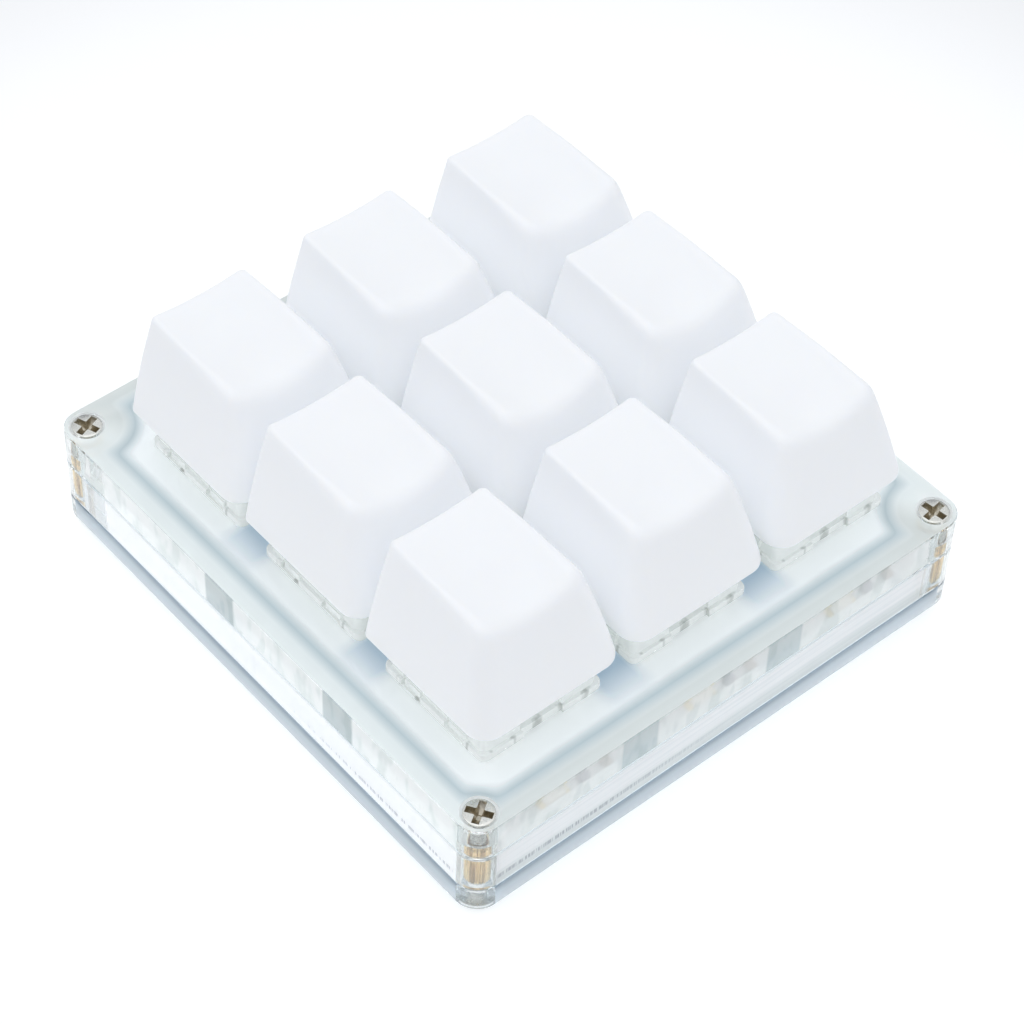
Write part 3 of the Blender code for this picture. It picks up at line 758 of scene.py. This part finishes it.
def cap_plan(front_half, back_half, front, back, front_radius, back_radius, corner_steps=8, spans=8):
    """Outline of a cap section with points along its straight edges, counter-clockwise."""
    corners = [((back_half - back_radius, back - back_radius), back_radius),
               ((back_radius - back_half, back - back_radius), back_radius),
               ((front_radius - front_half, front + front_radius), front_radius),
               ((front_half - front_radius, front + front_radius), front_radius)]
    outline = []
    for quarter, (centre, radius) in enumerate(corners):
        end = (quarter + 1) * pi / 2
        outline += arc(centre, radius, end - pi / 2, end, corner_steps)
        next_centre, next_radius = corners[(quarter + 1) % 4]
        following = arc(next_centre, next_radius, end, end + pi / 2, 1)[0]
        last = outline[-1]
        outline += [last.lerp(following, step / spans) for step in range(1, spans)]
    return outline


def cap_height(x, y):
    """Dished top above the skirt: lowest along the middle, and deepest towards the front."""
    along = (y - CAP_TOP_FRONT) / (CAP_TOP_BACK - CAP_TOP_FRONT)
    crest = blend(CAP_HEIGHT_FRONT, CAP_HEIGHT_BACK, along)
    dish = blend(CAP_DISH_FRONT, CAP_DISH_BACK, along)
    return crest - dish * (1 - (x / CAP_TOP_HALVES[0]) ** 2)


def cap_section(at, inset):
    """Outline at a fraction of the way from skirt to crest, drawn in by the inset."""
    bulge = CAP_SIDE_BULGE * 4 * at * (1 - at)
    halves = [blend(CAP_SKIRT_HALF, top, at) + bulge - inset for top in CAP_TOP_HALVES]
    front = blend(-CAP_SKIRT_HALF, CAP_TOP_FRONT, at) + inset
    back = blend(CAP_SKIRT_HALF, CAP_TOP_BACK, at) - inset
    radii = [max(blend(skirt, top, at) - inset, CAP_LEAST_RADIUS)
             for skirt, top in zip(CAP_SKIRT_RADII, CAP_TOP_RADII)]
    return cap_plan(*halves, front, back, *radii)


def cap_ring(fraction, inset):
    """Section raised to its share of the dished height."""
    return [Vector((point.x, point.y, CAP_LOW.z + fraction * cap_height(top.x, top.y)))
            for point, top in zip(cap_section(fraction, inset), cap_section(1.0, inset))]


def shrunk(outline, share, fraction):
    """Section drawn towards its middle, on the dished surface at a fraction of its height."""
    middle = Vector((0.0, (CAP_TOP_FRONT + CAP_TOP_BACK) / 2))
    points = [middle + (point - middle) * share for point in outline]
    return [Vector((point.x, point.y, CAP_LOW.z + fraction * cap_height(point.x, point.y)))
            for point in points]


def crest_softness(point):
    """How soft the crest is at a point of the top: none along the back and sides, full at the front."""
    along = (CAP_TOP_BACK - point.y) / (CAP_TOP_BACK - CAP_TOP_FRONT)
    share = min(max((along - 0.35) / 0.6, 0.0), 1.0)
    return share * share * (3 - 2 * share)


def crest_rings():
    """Rings up the sides and round over the crest, and the outline where the dish begins."""
    skirt, top = cap_section(0.0, 0.0), cap_section(1.0, 0.0)
    sharp, soft = (cap_section(1.0, inset) for inset in CREST_INSET)
    softness = [crest_softness(point) for point in top]
    starts = [blend(*CREST_START, share) for share in softness]

    def side(fractions):
        ring = []
        for low, high, fraction in zip(skirt, top, fractions):
            point = low.lerp(high, fraction)
            point.x += CAP_SIDE_BULGE * 4 * fraction * (1 - fraction) * low.x / CAP_SKIRT_HALF
            ring.append(Vector((point.x, point.y, CAP_LOW.z + fraction * cap_height(high.x, high.y))))
        return ring

    sides = [side([blend(0.02, start, step / 8) for start in starts]) for step in range(9)]
    rim_outline = [first.lerp(second, share) for first, second, share in zip(sharp, soft, softness)]
    rim = shrunk(rim_outline, 1.0, 1.0)
    corner = side([1.0] * len(top))
    rounding = []
    for step in range(1, CREST_STEPS):
        t = step / CREST_STEPS
        rounding.append([a * (1 - t) ** 2 + b * 2 * t * (1 - t) + c * t * t
                         for a, b, c in zip(sides[-1], corner, rim)])
    return sides + rounding, rim_outline


def keycap_mesh():
    """Hollow cap about its key's axis, with a post that takes the stem's cross."""
    shares = [0.1, 0.25, 0.4, 0.55, 0.7, 0.82, 0.92]
    ceiling = [shrunk(cap_section(CAP_CEILING_FRACTION, CAP_WALL), share, CAP_CEILING_FRACTION)
               for share in shares]
    inner = [cap_ring(CAP_CEILING_FRACTION * (1 - step / 8), CAP_WALL) for step in range(8)]
    lip = [raised(cap_section(0.0, CAP_WALL), CAP_LOW.z + LIP),
           raised(cap_section(0.0, CAP_WALL - LIP), CAP_LOW.z),
           raised(cap_section(0.0, LIP), CAP_LOW.z),
           raised(cap_section(0.0, 0.3 * LIP), CAP_LOW.z + 0.3 * LIP)]
    outer, rim_outline = crest_rings()
    top = [shrunk(rim_outline, share, 1.0) for share in [1.0] + shares[::-1]]
    cap = lofted(ceiling + inner + lip + outer + top)
    ceiling_z = CAP_LOW.z + CAP_CEILING_FRACTION * cap_height(0.0, 0.0)
    post_bottom = HOUSING_HIGH.z + GAP
    post = [(CAP_POST_RADIUS - LIP, post_bottom), (CAP_POST_RADIUS, post_bottom + LIP),
            (CAP_POST_RADIUS, ceiling_z + OVERSHOOT)]
    cap = joined(cap, turned(post, 48))
    socket = cross_outline(CROSS_REACH + GAP, CROSS_HALF_WIDTH + GAP)
    return cut(cap, prism(socket, post_bottom - OVERSHOOT, HOUSING_HIGH.z + CROSS_HEIGHT + GAP))


def keycaps():
    look = milky_plastic()
    mesh = keycap_mesh()
    for number, x, y in key_axes():
        piece(f"keycap_shell_{number}", mesh, (look,), "milky_keycap", f"keycap_{number}", f"key_{number}",
              (x, y, 0.0))


# Corner fasteners ------------------------------

SCREW_LENGTH = SCREW_HIGH.z - SCREW_LOW.z
THREAD_PITCH = 0.4 * MM
THREAD_DEPTH = 0.14 * MM
THREAD_ROWS = 6                       # rings in one turn of the thread
KNURL_TEETH = 30
KNURL_DEPTH = 0.14 * MM
SCREW_TURNS = {"front_left": radians(33), "front_right": radians(8),
               "back_right": radians(61), "back_left": radians(20)}


def threaded(low, high, steps=36):
    """Rings of a screw thread, lowest first."""
    count = round((high - low) / THREAD_PITCH * THREAD_ROWS)
    rings = []
    for row in range(count + 1):
        z = blend(low, high, row / count)
        ring = []
        for step in range(steps):
            phase = (z / THREAD_PITCH - step / steps) % 1.0
            radius = SHANK_RADIUS - THREAD_DEPTH * abs(2 * phase - 1)
            angle = 2 * pi * step / steps
            ring.append(Vector((radius * cos(angle), radius * sin(angle), z)))
        rings.append(ring)
    return rings


def screw_mesh():
    """Countersunk screw hanging from its head's flat face at z = 0, with a tapered cross recess."""
    steps = 36
    cone = HEAD_RADIUS - SHANK_RADIUS
    tip = [raised(circle(radius, steps), z - SCREW_LENGTH)
           for radius, z in [(0.55 * SHANK_RADIUS, 0.0), (0.8 * SHANK_RADIUS, 0.15 * MM)]]
    head = [(SHANK_RADIUS, -HEAD_EDGE - cone - 0.1 * MM), (SHANK_RADIUS, -HEAD_EDGE - cone),
            (HEAD_RADIUS, -HEAD_EDGE), (HEAD_RADIUS, -0.04 * MM), (HEAD_RADIUS - 0.06 * MM, 0.0)]
    body = tip + threaded(0.25 * MM - SCREW_LENGTH, -HEAD_EDGE - cone - 0.2 * MM, steps)
    body += [raised(circle(radius, steps), z) for radius, z in head]
    recess = [(0.25, 0.12, -0.95), (0.8, 0.24, -0.7), (1.36, 0.34, -0.1), (1.42, 0.42, 0.1)]
    tool = lofted([raised(cross_outline(reach * MM, half * MM), z * MM) for reach, half, z in recess])
    core = turned([(0.3 * MM, -1.0 * MM), (0.52 * MM, -0.5 * MM), (0.62 * MM, 0.1 * MM)], 24)
    return cut(cut(lofted(body), tool), core)


def standoff_mesh():
    """Knurled brass sleeve with chamfered ends."""

    def ring(radius, depth, z):
        outline = []
        for step in range(KNURL_TEETH * 4):
            angle = 2 * pi * step / (KNURL_TEETH * 4)
            reach = radius - depth * (0.5 + 0.5 * cos(angle * KNURL_TEETH))
            outline.append(Vector((reach * cos(angle), reach * sin(angle), z)))
        return outline

    low, high = STANDOFF_LOW.z, STANDOFF_HIGH.z
    edge = 0.2 * MM
    rod = lofted([ring(STANDOFF_RADIUS - edge, 0.0, low), ring(STANDOFF_RADIUS, KNURL_DEPTH, low + edge),
                  ring(STANDOFF_RADIUS, KNURL_DEPTH, high - edge), ring(STANDOFF_RADIUS - edge, 0.0, high)])
    return cut(rod, turned([(STANDOFF_BORE, low - OVERSHOOT), (STANDOFF_BORE, high + OVERSHOOT)], 32))


def fasteners():
    """Cover and base screws with a standoff between them in each corner."""
    nickel = metal("nickel", (0.70, 0.70, 0.66), 0.26, (2500.0,) * 3, 0.01 * MM)
    # The recess copy of the nickel is darker and browner: painted shade in the cross recess.
    recess = metal("nickel_recess_shaded", (0.50, 0.46, 0.38), 0.16, (1100.0,) * 3, 0.25 * MM)
    brass = metal("brass", (0.92, 0.70, 0.40), 0.22, (2600.0, 2600.0, 100.0), 0.08 * MM, (0.46, 0.30, 0.14))

    # Faces inside the cross recess take the copy with the painted shade.
    def choose(centre, normal):
        inside = centre.x ** 2 + centre.y ** 2 < (1.35 * MM) ** 2
        return 1 if inside and -1.1 * MM < centre.z < -0.02 * MM and normal.z > -0.05 else 0

    screw = sorted_faces(screw_mesh(), choose)
    sleeve = standoff_mesh()
    for corner, (side_x, side_y) in CORNERS.items():
        x = side_x * SCREW_X
        y = side_y * SCREW_Y
        piece(f"cover_screw_cross_{corner}", screw, (nickel, recess), "nickel", f"cover_screw_{corner}",
              location=(x, y, COVER_TOP), turn_z=SCREW_TURNS[corner])
        piece(f"base_screw_cross_{corner}", screw, (nickel, recess), "nickel", f"base_screw_{corner}",
              location=(x, y, BASE_LOW.z), turn_x=pi)
        piece(f"standoff_knurled_{corner}", sleeve, (brass,), "brass", f"standoff_{corner}",
              location=(x, y, 0.0))


# Switches --------------------------------------

HOUSING_BOTTOM = BOARD_HIGH.z + GAP
RIM_BOTTOM = COVER_TOP + GAP
RIM_TOP = RIM_BOTTOM + 1.0 * MM
CROWN_TOP = HOUSING_HIGH.z
WAIST = SWITCH_HOLE - 2 * GAP
RIM = HOUSING_HIGH.x - HOUSING_LOW.x
SHOULDER = 14.4 * MM
CROWN_WIDTH = 11.4 * MM
CROWN_DEPTH = 9.6 * MM
HOUSING_WALL = 1.0 * MM
WELL_WIDTH = 6.8 * MM
WELL_DEPTH = 6.3 * MM
WELL_FLOOR = HOUSING_BOTTOM + 1.2 * MM
LATCH_SPACING = 3.3 * MM              # latches either side of the middle, on the left and right sides
LATCH_WIDTH = 2.4 * MM
SPRING_TURNS = 6
SPRING_WIRE = 0.2 * MM


def housing_base_mesh():
    """Lower half of a switch: waist, clip-in rim with latch windows, guide post and locating post."""
    edge = 0.15 * MM
    sections = [(WAIST - 0.6 * MM, HOUSING_BOTTOM), (WAIST, HOUSING_BOTTOM + 0.3 * MM), (WAIST, RIM_BOTTOM),
                (RIM - edge, RIM_BOTTOM), (RIM, RIM_BOTTOM + edge),
                 (RIM, RIM_TOP - edge), (RIM - edge, RIM_TOP)]
    base = lofted([raised(rounded_rectangle(width, width, 0.8 * MM, 5), z) for width, z in sections])
    inside = rounded_rectangle(WAIST - 2 * HOUSING_WALL, WAIST - 2 * HOUSING_WALL, 0.5 * MM, 3)
    base = cut(base, prism(inside, WELL_FLOOR, RIM_TOP + OVERSHOOT))
    tools = []
    for side in (-1, 1):
        for along in (-1, 1):
            place = (side * (RIM / 2 - 0.35 * MM), along * LATCH_SPACING)
            window = rectangle(1.1 * MM, LATCH_WIDTH + 0.5 * MM, place)
            tools.append(prism(window, RIM_BOTTOM + 0.35 * MM, RIM_TOP + OVERSHOOT))
        notch = rectangle(5.0 * MM, 0.9 * MM, (0.0, side * RIM / 2))
        tools.append(prism(notch, RIM_BOTTOM - OVERSHOOT, RIM_TOP + OVERSHOOT))
        slot = rectangle(1.6 * MM, 1.2 * MM, (1.4 * MM, side * (WAIST / 2 - 0.4 * MM)))
        tools.append(prism(slot, HOUSING_BOTTOM + 2.0 * MM, RIM_BOTTOM - 0.4 * MM))
    base = cut(base, *tools)
    post = turned([(1.6 * MM, HOUSING_LOW.z), (2.0 * MM, HOUSING_LOW.z + 0.4 * MM),
                   (2.0 * MM, HOUSING_BOTTOM + 0.6 * MM)], 32)
    base = joined(base, post)
    guide = turned([(1.25 * MM, WELL_FLOOR - 0.3 * MM), (1.25 * MM, WELL_FLOOR + 1.6 * MM),
                    (1.0 * MM, WELL_FLOOR + 1.9 * MM)], 32)
    return joined(base, guide)


def housing_lid_mesh():
    """Upper half of a switch: tapered hood with a stem opening, latches and a lamp slot at the front."""
    edge = 0.25 * MM

    def section(share, z, inset=0.0):
        width = blend(SHOULDER, CROWN_WIDTH, share) - 2 * inset
        depth = blend(SHOULDER, CROWN_DEPTH, share) - 2 * inset
        return raised(rounded_rectangle(width, depth, 0.9 * MM - 0.5 * inset, 5), z)

    hood = lofted([section(0.0, RIM_TOP), section(0.04, RIM_TOP + 0.7 * MM), section(0.95, CROWN_TOP - edge),
                   section(1.0, CROWN_TOP, edge)])
    inner = lofted([section(0.0, RIM_TOP - OVERSHOOT, HOUSING_WALL),
                    section(0.04, RIM_TOP + 0.7 * MM, HOUSING_WALL),
                    section(0.8, CROWN_TOP - HOUSING_WALL, HOUSING_WALL)])
    hood = cut(hood, inner)
    opening = rounded_rectangle(WELL_WIDTH, WELL_DEPTH, 0.5 * MM, 4)
    tools = [prism(opening, CROWN_TOP - 2 * HOUSING_WALL, CROWN_TOP + OVERSHOOT)]
    slot = rectangle(5.2 * MM, 1.5 * MM, (0.0, -SHOULDER / 2 + 0.3 * MM))
    tools.append(prism(slot, RIM_TOP - OVERSHOOT, RIM_TOP + 2.6 * MM))
    for side in (-1, 1):
        for along in (-1, 1):
            for edge_side in (-1, 1):
                y = along * LATCH_SPACING + edge_side * (LATCH_WIDTH / 2 + 0.15 * MM)
                slit = rectangle(1.4 * MM, 0.3 * MM, (side * SHOULDER / 2, y))
                tools.append(prism(slit, RIM_TOP - OVERSHOOT, RIM_TOP + 1.5 * MM))
    hood = cut(hood, *tools)
    latches = []
    for side in (-1, 1):
        for along in (-1, 1):
            tab = rounded_rectangle(0.7 * MM, LATCH_WIDTH, 0.15 * MM, 2,
                                    (side * (SHOULDER / 2 - 0.2 * MM), along * LATCH_SPACING))
            latches.append(prism(tab, RIM_BOTTOM + 0.45 * MM, RIM_TOP + 0.3 * MM))
    return joined(hood, gathered(latches))


def contacts_mesh():
    """Metal inside and under a switch: fixed plate, bent leaf, two pins and their solder."""
    parts = []
    for x, y in [(-3.81 * MM, 2.54 * MM), (2.54 * MM, 5.08 * MM)]:
        parts.append(prism(rounded_rectangle(1.3 * MM, 0.25 * MM, 0.1 * MM, 2, (x, y)),
                           BASE_HIGH.z + 1.2 * MM, WELL_FLOOR + 0.2 * MM))
        solder = [(0.35 * MM, BOARD_LOW.z - 1.0 * MM), (0.5 * MM, BOARD_LOW.z - 0.6 * MM),
                  (0.95 * MM, BOARD_LOW.z - 0.1 * MM), (1.1 * MM, BOARD_LOW.z)]
        parts.append(turned(solder, 20, (x, y)))
    plate = rounded_rectangle(3.4 * MM, 0.2 * MM, 0.05 * MM, 2, (2.4 * MM, 4.9 * MM))
    parts.append(prism(plate, WELL_FLOOR + 0.2 * MM, RIM_TOP))
    leaf = [(0.0, 4.5, 0.2), (0.0, 4.55, 2.0), (0.0, 4.25, 3.6), (0.0, 3.75, 4.6), (0.0, 4.1, 5.4)]
    rings = []
    for x, y, z in leaf:
        rings.append(raised(rounded_rectangle(2.2 * MM, 0.15 * MM, 0.04 * MM, 2, (2.2 * MM, y * MM)),
                            WELL_FLOOR + z * MM))
    parts.append(lofted(rings))
    return gathered(parts)


def stem_mesh():
    """Slider with side rails, the keycap's cross on top and the spring's bore below."""
    low, top = STEM_LOW.z, HOUSING_HIGH.z
    width, depth = STEM_HIGH.x - STEM_LOW.x, STEM_HIGH.y - STEM_LOW.y
    edge = 0.25 * MM
    slider = block(width, depth, 0.5 * MM, 4,
                   [(edge, low), (0.0, low + edge), (0.0, top - edge), (edge, top)])
    groove = [prism(rectangle(0.5 * MM, 2.6 * MM, (side * width / 2, 0.0)), low - OVERSHOOT, top - 1.4 * MM)
              for side in (-1, 1)]
    slider = cut(slider, *groove)
    cross = lofted([raised(cross_outline(CROSS_REACH - inset, CROSS_HALF_WIDTH - inset), z)
                    for inset, z in [(0.0, top - OVERSHOOT), (0.0, STEM_HIGH.z - edge),
                                      (0.15 * MM, STEM_HIGH.z)]])
    bore = turned([(2.3 * MM, low - OVERSHOOT), (2.3 * MM, top - 1.2 * MM)], 36)
    return cut(joined(slider, cross), bore)


def spring_mesh():
    """Helical wire about the key's axis, closed up at both ends."""
    steps_per_turn = 24
    sides = 8
    radius = (SPRING_HIGH.x - SPRING_LOW.x) / 2 - SPRING_WIRE
    low, high = SPRING_LOW.z + SPRING_WIRE, SPRING_HIGH.z - SPRING_WIRE
    steps = SPRING_TURNS * steps_per_turn
    rings = []
    for step in range(steps + 1):
        angle = 2 * pi * step / steps_per_turn
        share = step / steps
        eased = share - sin(2 * pi * share) / (2 * pi) * 0.75
        outward = Vector((cos(angle), sin(angle), 0.0))
        middle = outward * radius
        middle.z = blend(low, high, eased)
        ring = []
        for side in range(sides):
            turn = 2 * pi * side / sides
            ring.append(middle + SPRING_WIRE * (cos(turn) * outward + sin(turn) * Vector((0.0, 0.0, 1.0))))
        rings.append(ring[::-1])
    return lofted(rings)


def housing_lid_look():
    look = clear_plastic("clear_housing", (0.97, 0.98, 0.97), 0.12, 600.0, 0.45)
    # Emission_Strength is a painted glow.
    look.put(Emission_Color=(0.96, 0.98, 0.95), Emission_Strength=0.08)
    return look.material


def housing_base_look():
    """Clear plastic with upright grey streaks, and a painted glow."""
    look = clear_plastic("clear_housing_base", (0.97, 0.98, 0.965), 0.2, 600.0, 0.3)
    grey_streaks = look.streaks((650.0, 650.0, 200.0))
    look.put(Base_Color=look.ramp(grey_streaks, (0.31, (0.50, 0.52, 0.50)), (0.41, (0.97, 0.98, 0.965))),
             Emission_Color=(0.97, 0.98, 0.94), Emission_Strength=0.08)
    return look.material


def switches():
    """Each key's housing, contacts, spring and stem."""
    base_look = housing_base_look()
    lid_look = housing_lid_look()
    stem_look = moulded("stem_plastic", (0.83, 0.85, 0.84), 0.4, 0.04)
    wire = metal("spring_wire", (0.78, 0.74, 0.66), 0.22, (3000.0,) * 3, 0.01 * MM)
    contact_look = metal("contact_brass", (0.78, 0.66, 0.42), 0.3, (2500.0, 2500.0, 300.0), 0.01 * MM)
    base, lid, contacts = housing_base_mesh(), housing_lid_mesh(), contacts_mesh()
    stem, spring = stem_mesh(), spring_mesh()
    for number, x, y in key_axes():
        place = (x, y, 0.0)
        piece(f"switch_base_{number}", base, (base_look,), "clear_housing", f"switch_housing_{number}",
              location=place)
        piece(f"switch_lid_{number}", lid, (lid_look,), "clear_housing", location=place)
        piece(f"switch_contacts_{number}", contacts, (contact_look,), "brass", location=place)
        piece(f"stem_slider_{number}", stem, (stem_look,), "stem_plastic", f"stem_{number}",
              f"key_{number}", place)
        coil = piece(f"spring_coil_{number}", spring, (wire,), "spring_wire", f"spring_{number}",
                     location=place, smooth=radians(60))
        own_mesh(coil)


# Electronics -----------------------------------

EVEN_GRAIN = (2500.0,) * 3


def chip_block(width, depth, height, centre, low, edge=0.12 * MM):
    """Small moulded component with broken edges."""
    levels = [(edge, low), (0.0, low + edge), (0.0, low + height - edge), (edge, low + height)]
    return block(width, depth, 0.2 * MM, 3, levels, centre)


def board():
    """White circuit board with pads, lamps, diodes and small parts round each switch."""
    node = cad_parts["circuit_board"]
    node.data.materials.clear()
    node.data.materials.append(moulded("white_board", (0.86, 0.88, 0.88), 0.35, 0.03))
    cream = moulded("lamp_resin", (0.93, 0.90, 0.80), 0.4, 0.03)
    dark = moulded("diode_resin", (0.34, 0.38, 0.42), 0.45, 0.2)
    grey = moulded("capacitor_ceramic", (0.55, 0.50, 0.44), 0.4, 0.05)
    gold = metal("gold_pad", (0.9, 0.72, 0.4), 0.3, EVEN_GRAIN, 0.005 * MM)
    top, bottom = BOARD_HIGH.z, BOARD_LOW.z
    lamps, diodes, capacitors, pads = [], [], [], []
    for number, x, y in key_axes():
        front = y - WAIST / 2 - 2.9 * MM
        lamp_x = x - 2.1 * MM
        lamps.append(chip_block(2.7 * MM, 1.2 * MM, 1.0 * MM, (lamp_x, front), top))
        diodes.append(chip_block(1.0 * MM, 1.2 * MM, 1.1 * MM, (x + 1.6 * MM, front), top))
        capacitors.append(chip_block(0.9 * MM, 1.2 * MM, 0.8 * MM, (x + 4.6 * MM, front), top))
        below = (x + 5.0 * MM, y - 4.0 * MM)
        diodes.append(chip_block(2.8 * MM, 1.5 * MM, 1.1 * MM, below, bottom - 1.2 * MM))
        for side in (-1, 1):
            pad = (lamp_x + side * 1.5 * MM, front)
            pads.append(chip_block(0.5 * MM, 1.2 * MM, 0.5 * MM, pad, top, 0.05 * MM))
    piece("board_lamps", gathered(lamps), (cream,), "board")
    piece("board_diodes", gathered(diodes), (dark,), "chip_resin")
    piece("board_capacitors", gathered(capacitors), (grey,), "board")
    piece("board_pads", gathered(pads), (gold,), "brass")


def controller():
    """Controller package with a row of legs on each side."""
    low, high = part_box("controller_chip")
    middle = (low + high) / 2
    size = high.x - low.x
    resin = moulded("chip_resin", (0.035, 0.035, 0.04), 0.5, 0.3)
    steel = metal("leg_steel", (0.7, 0.7, 0.72), 0.3, EVEN_GRAIN, 0.005 * MM)
    body = chip_block(size - 0.6 * MM, size - 0.6 * MM, high.z - low.z, middle.xy, low.z)
    piece("controller_body", body, (resin,), "chip_resin", "controller_chip")
    legs = []
    for leg in range(8):
        along = (leg - 3.5) * 0.7 * MM
        for side in (-1, 1):
            reach = side * (size / 2 - 0.3 * MM)
            across_leg = rectangle(0.6 * MM, 0.25 * MM, (middle.x + reach, middle.y + along))
            along_leg = rectangle(0.25 * MM, 0.6 * MM, (middle.x + along, middle.y + reach))
            legs += [prism(outline, high.z - 0.5 * MM, high.z - 0.3 * MM)
                     for outline in (across_leg, along_leg)]
    piece("controller_legs", gathered(legs), (steel,), "socket_steel")


def usb_socket():
    """USB-C socket: rolled steel shell with a rounded lip, and a tongue with gold contacts."""
    steel = metal("socket_steel", (0.72, 0.72, 0.74), 0.25, (2500.0, 300.0, 2500.0), 0.01 * MM)
    resin = moulded("tongue_resin", (0.05, 0.05, 0.055), 0.45, 0.2)
    gold = metal("contact_gold", (0.92, 0.74, 0.42), 0.22, EVEN_GRAIN, 0.005 * MM)
    width, length, height = SOCKET_HIGH - SOCKET_LOW
    wall = 0.3 * MM
    edge = 0.12 * MM
    well = length - 6.0 * MM

    def ring(inset, z):
        return raised(rounded_rectangle(width - 2 * inset, height - 2 * inset, height / 2 - inset, 16), z)

    outer = [ring(edge, 0.0), ring(0.0, edge), ring(0.0, length - edge), ring(edge, length)]
    inner = [ring(wall - edge, length), ring(wall, length - edge), ring(wall, well)]
    tongue_levels = [(0.0, well - 0.2 * MM), (0.0, well + 4.4 * MM), (0.08 * MM, well + 4.5 * MM)]
    tongue = block(6.7 * MM, 0.7 * MM, 0.12 * MM, 3, tongue_levels)
    strips = []
    for strip in range(12):
        for side in (-1, 1):
            outline = rectangle(0.25 * MM, 0.06 * MM, ((strip - 5.5) * 0.5 * MM, side * 0.36 * MM))
            strips.append(prism(outline, well + 0.5 * MM, well + 4.0 * MM))
    place = {"location": (0.0, SOCKET_LOW.y, (SOCKET_LOW.z + SOCKET_HIGH.z) / 2), "turn_x": -pi / 2}
    piece("socket_shell", lofted(outer + inner), (steel,), "socket_steel", "usb_socket", **place)
    piece("socket_tongue", tongue, (resin,), "chip_resin", **place)
    piece("socket_contacts", gathered(strips), (gold,), "brass", **place)


def feet():
    """Soft clear feet with a rounded lower edge."""
    rubber = clear_plastic("foot_rubber", (0.86, 0.89, 0.90), 0.3, 900.0).material
    low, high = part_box("foot_front_left")
    radius = (high.x - low.x) / 2
    round_over = 0.5 * MM
    profile = [(radius - round_over + round_over * sin(angle), round_over - round_over * cos(angle))
               for angle in [step * pi / 12 for step in range(7)]]
    mesh = turned(profile + [(radius, high.z - low.z)], 48)
    for corner in CORNERS:
        low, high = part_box(f"foot_{corner}")
        place = ((low.x + high.x) / 2, (low.y + high.y) / 2, 0.0)
        piece(f"foot_pad_{corner}", mesh, (rubber,), "foot_rubber", f"foot_{corner}", location=place)


# Stage -----------------------------------------

FLOOR_HALF = 2.5
FLOOR_GLOW_REACH = 130.0 * MM


def placed(name, data, location):
    """New object in the scene, left unattached to any body."""
    made = bpy.data.objects.new(name, data)
    made.location = location
    bpy.context.scene.collection.objects.link(made)
    return made


def camera():
    back = Vector((sin(CAMERA_AZIMUTH) * cos(CAMERA_ELEVATION),
                   -cos(CAMERA_AZIMUTH) * cos(CAMERA_ELEVATION), sin(CAMERA_ELEVATION)))
    level_right = Vector((cos(CAMERA_AZIMUTH), sin(CAMERA_AZIMUTH), 0.0))
    level_up = back.cross(level_right)
    right = level_right * cos(CAMERA_ROLL) + level_up * sin(CAMERA_ROLL)
    up = level_up * cos(CAMERA_ROLL) - level_right * sin(CAMERA_ROLL)
    data = bpy.data.cameras.new("camera")
    data.lens = CAMERA_LENS
    data.sensor_width = 36.0
    data.clip_start = 0.01
    data.clip_end = 20.0
    made = placed("camera", data, (0.0, 0.0, 0.0))
    made.matrix_world = Matrix((right, up, back)).transposed().to_4x4()
    made.location = CAMERA_AIM + back * CAMERA_DISTANCE + right * CAMERA_SLIDE[0] + up * CAMERA_SLIDE[1]
    bpy.context.scene.camera = made


def floor():
    """White sweep, lit from within so that the object throws hardly any shadow on it."""
    look = Look("floor_white", Base_Color=(0.9, 0.9, 0.9), Roughness=0.9, Emission_Color=WHITE)
    x, y, _ = look.axes()
    share = look.math("DIVIDE", look.distance(x, y), FLOOR_GLOW_REACH)
    look.put(Emission_Strength=look.ramp(share, (0.0, 0.42), (0.38, 0.40), (0.5, 0.26),
                                         (0.72, 0.18), (1.0, 0.0)))
    look.bump(look.noise(400.0), 0.02 * MM, 0.2)
    mesh = bpy.data.meshes.new("floor")
    corners = [point.to_3d() for point in rectangle(2 * FLOOR_HALF, 2 * FLOOR_HALF)]
    mesh.from_pydata(corners, [], [(0, 1, 2, 3)])
    mesh.materials.append(look.material)
    placed("floor", mesh, (0.0, 0.0, 0.0))


def area_light(name, location, size, power):
    """Square light that faces the origin."""
    data = bpy.data.lights.new(name, "AREA")
    data.size = size
    data.energy = power
    made = placed(name, data, location)
    made.rotation_mode = "QUATERNION"
    made.rotation_quaternion = Vector(location).to_track_quat("Z", "Y")


def studio():
    """Pale sky that brightens upwards, two soft lights and the way the picture is developed."""
    world = bpy.data.worlds.new("studio")
    world.use_nodes = True
    sky = Nodes(world.node_tree, "Generated")
    color = sky.ramp(sky.axes()[2], (0.05, (0.26, 0.28, 0.32)), (0.75, (0.95, 0.97, 1.0)))
    sky.join(world.node_tree.nodes["Background"].inputs["Color"], color)
    scene = bpy.context.scene
    scene.world = world
    area_light("top_softbox", (0.0, 0.05, 0.75), 0.6, 0.54)
    area_light("left_softbox", (-0.6, 0.2, 0.5), 0.4, 0.05)
    scene.view_settings.view_transform = "Standard"
    scene.cycles.max_bounces = 24
    scene.cycles.transmission_bounces = 24
    scene.cycles.glossy_bounces = 16
    scene.cycles.transparent_max_bounces = 48


looks = case_looks()
top_cover(looks)
middle_frame(looks)
bottom_plate(looks)
fasteners()
board()
controller()
usb_socket()
switches()
feet()
keycaps()
camera()
floor()
studio()
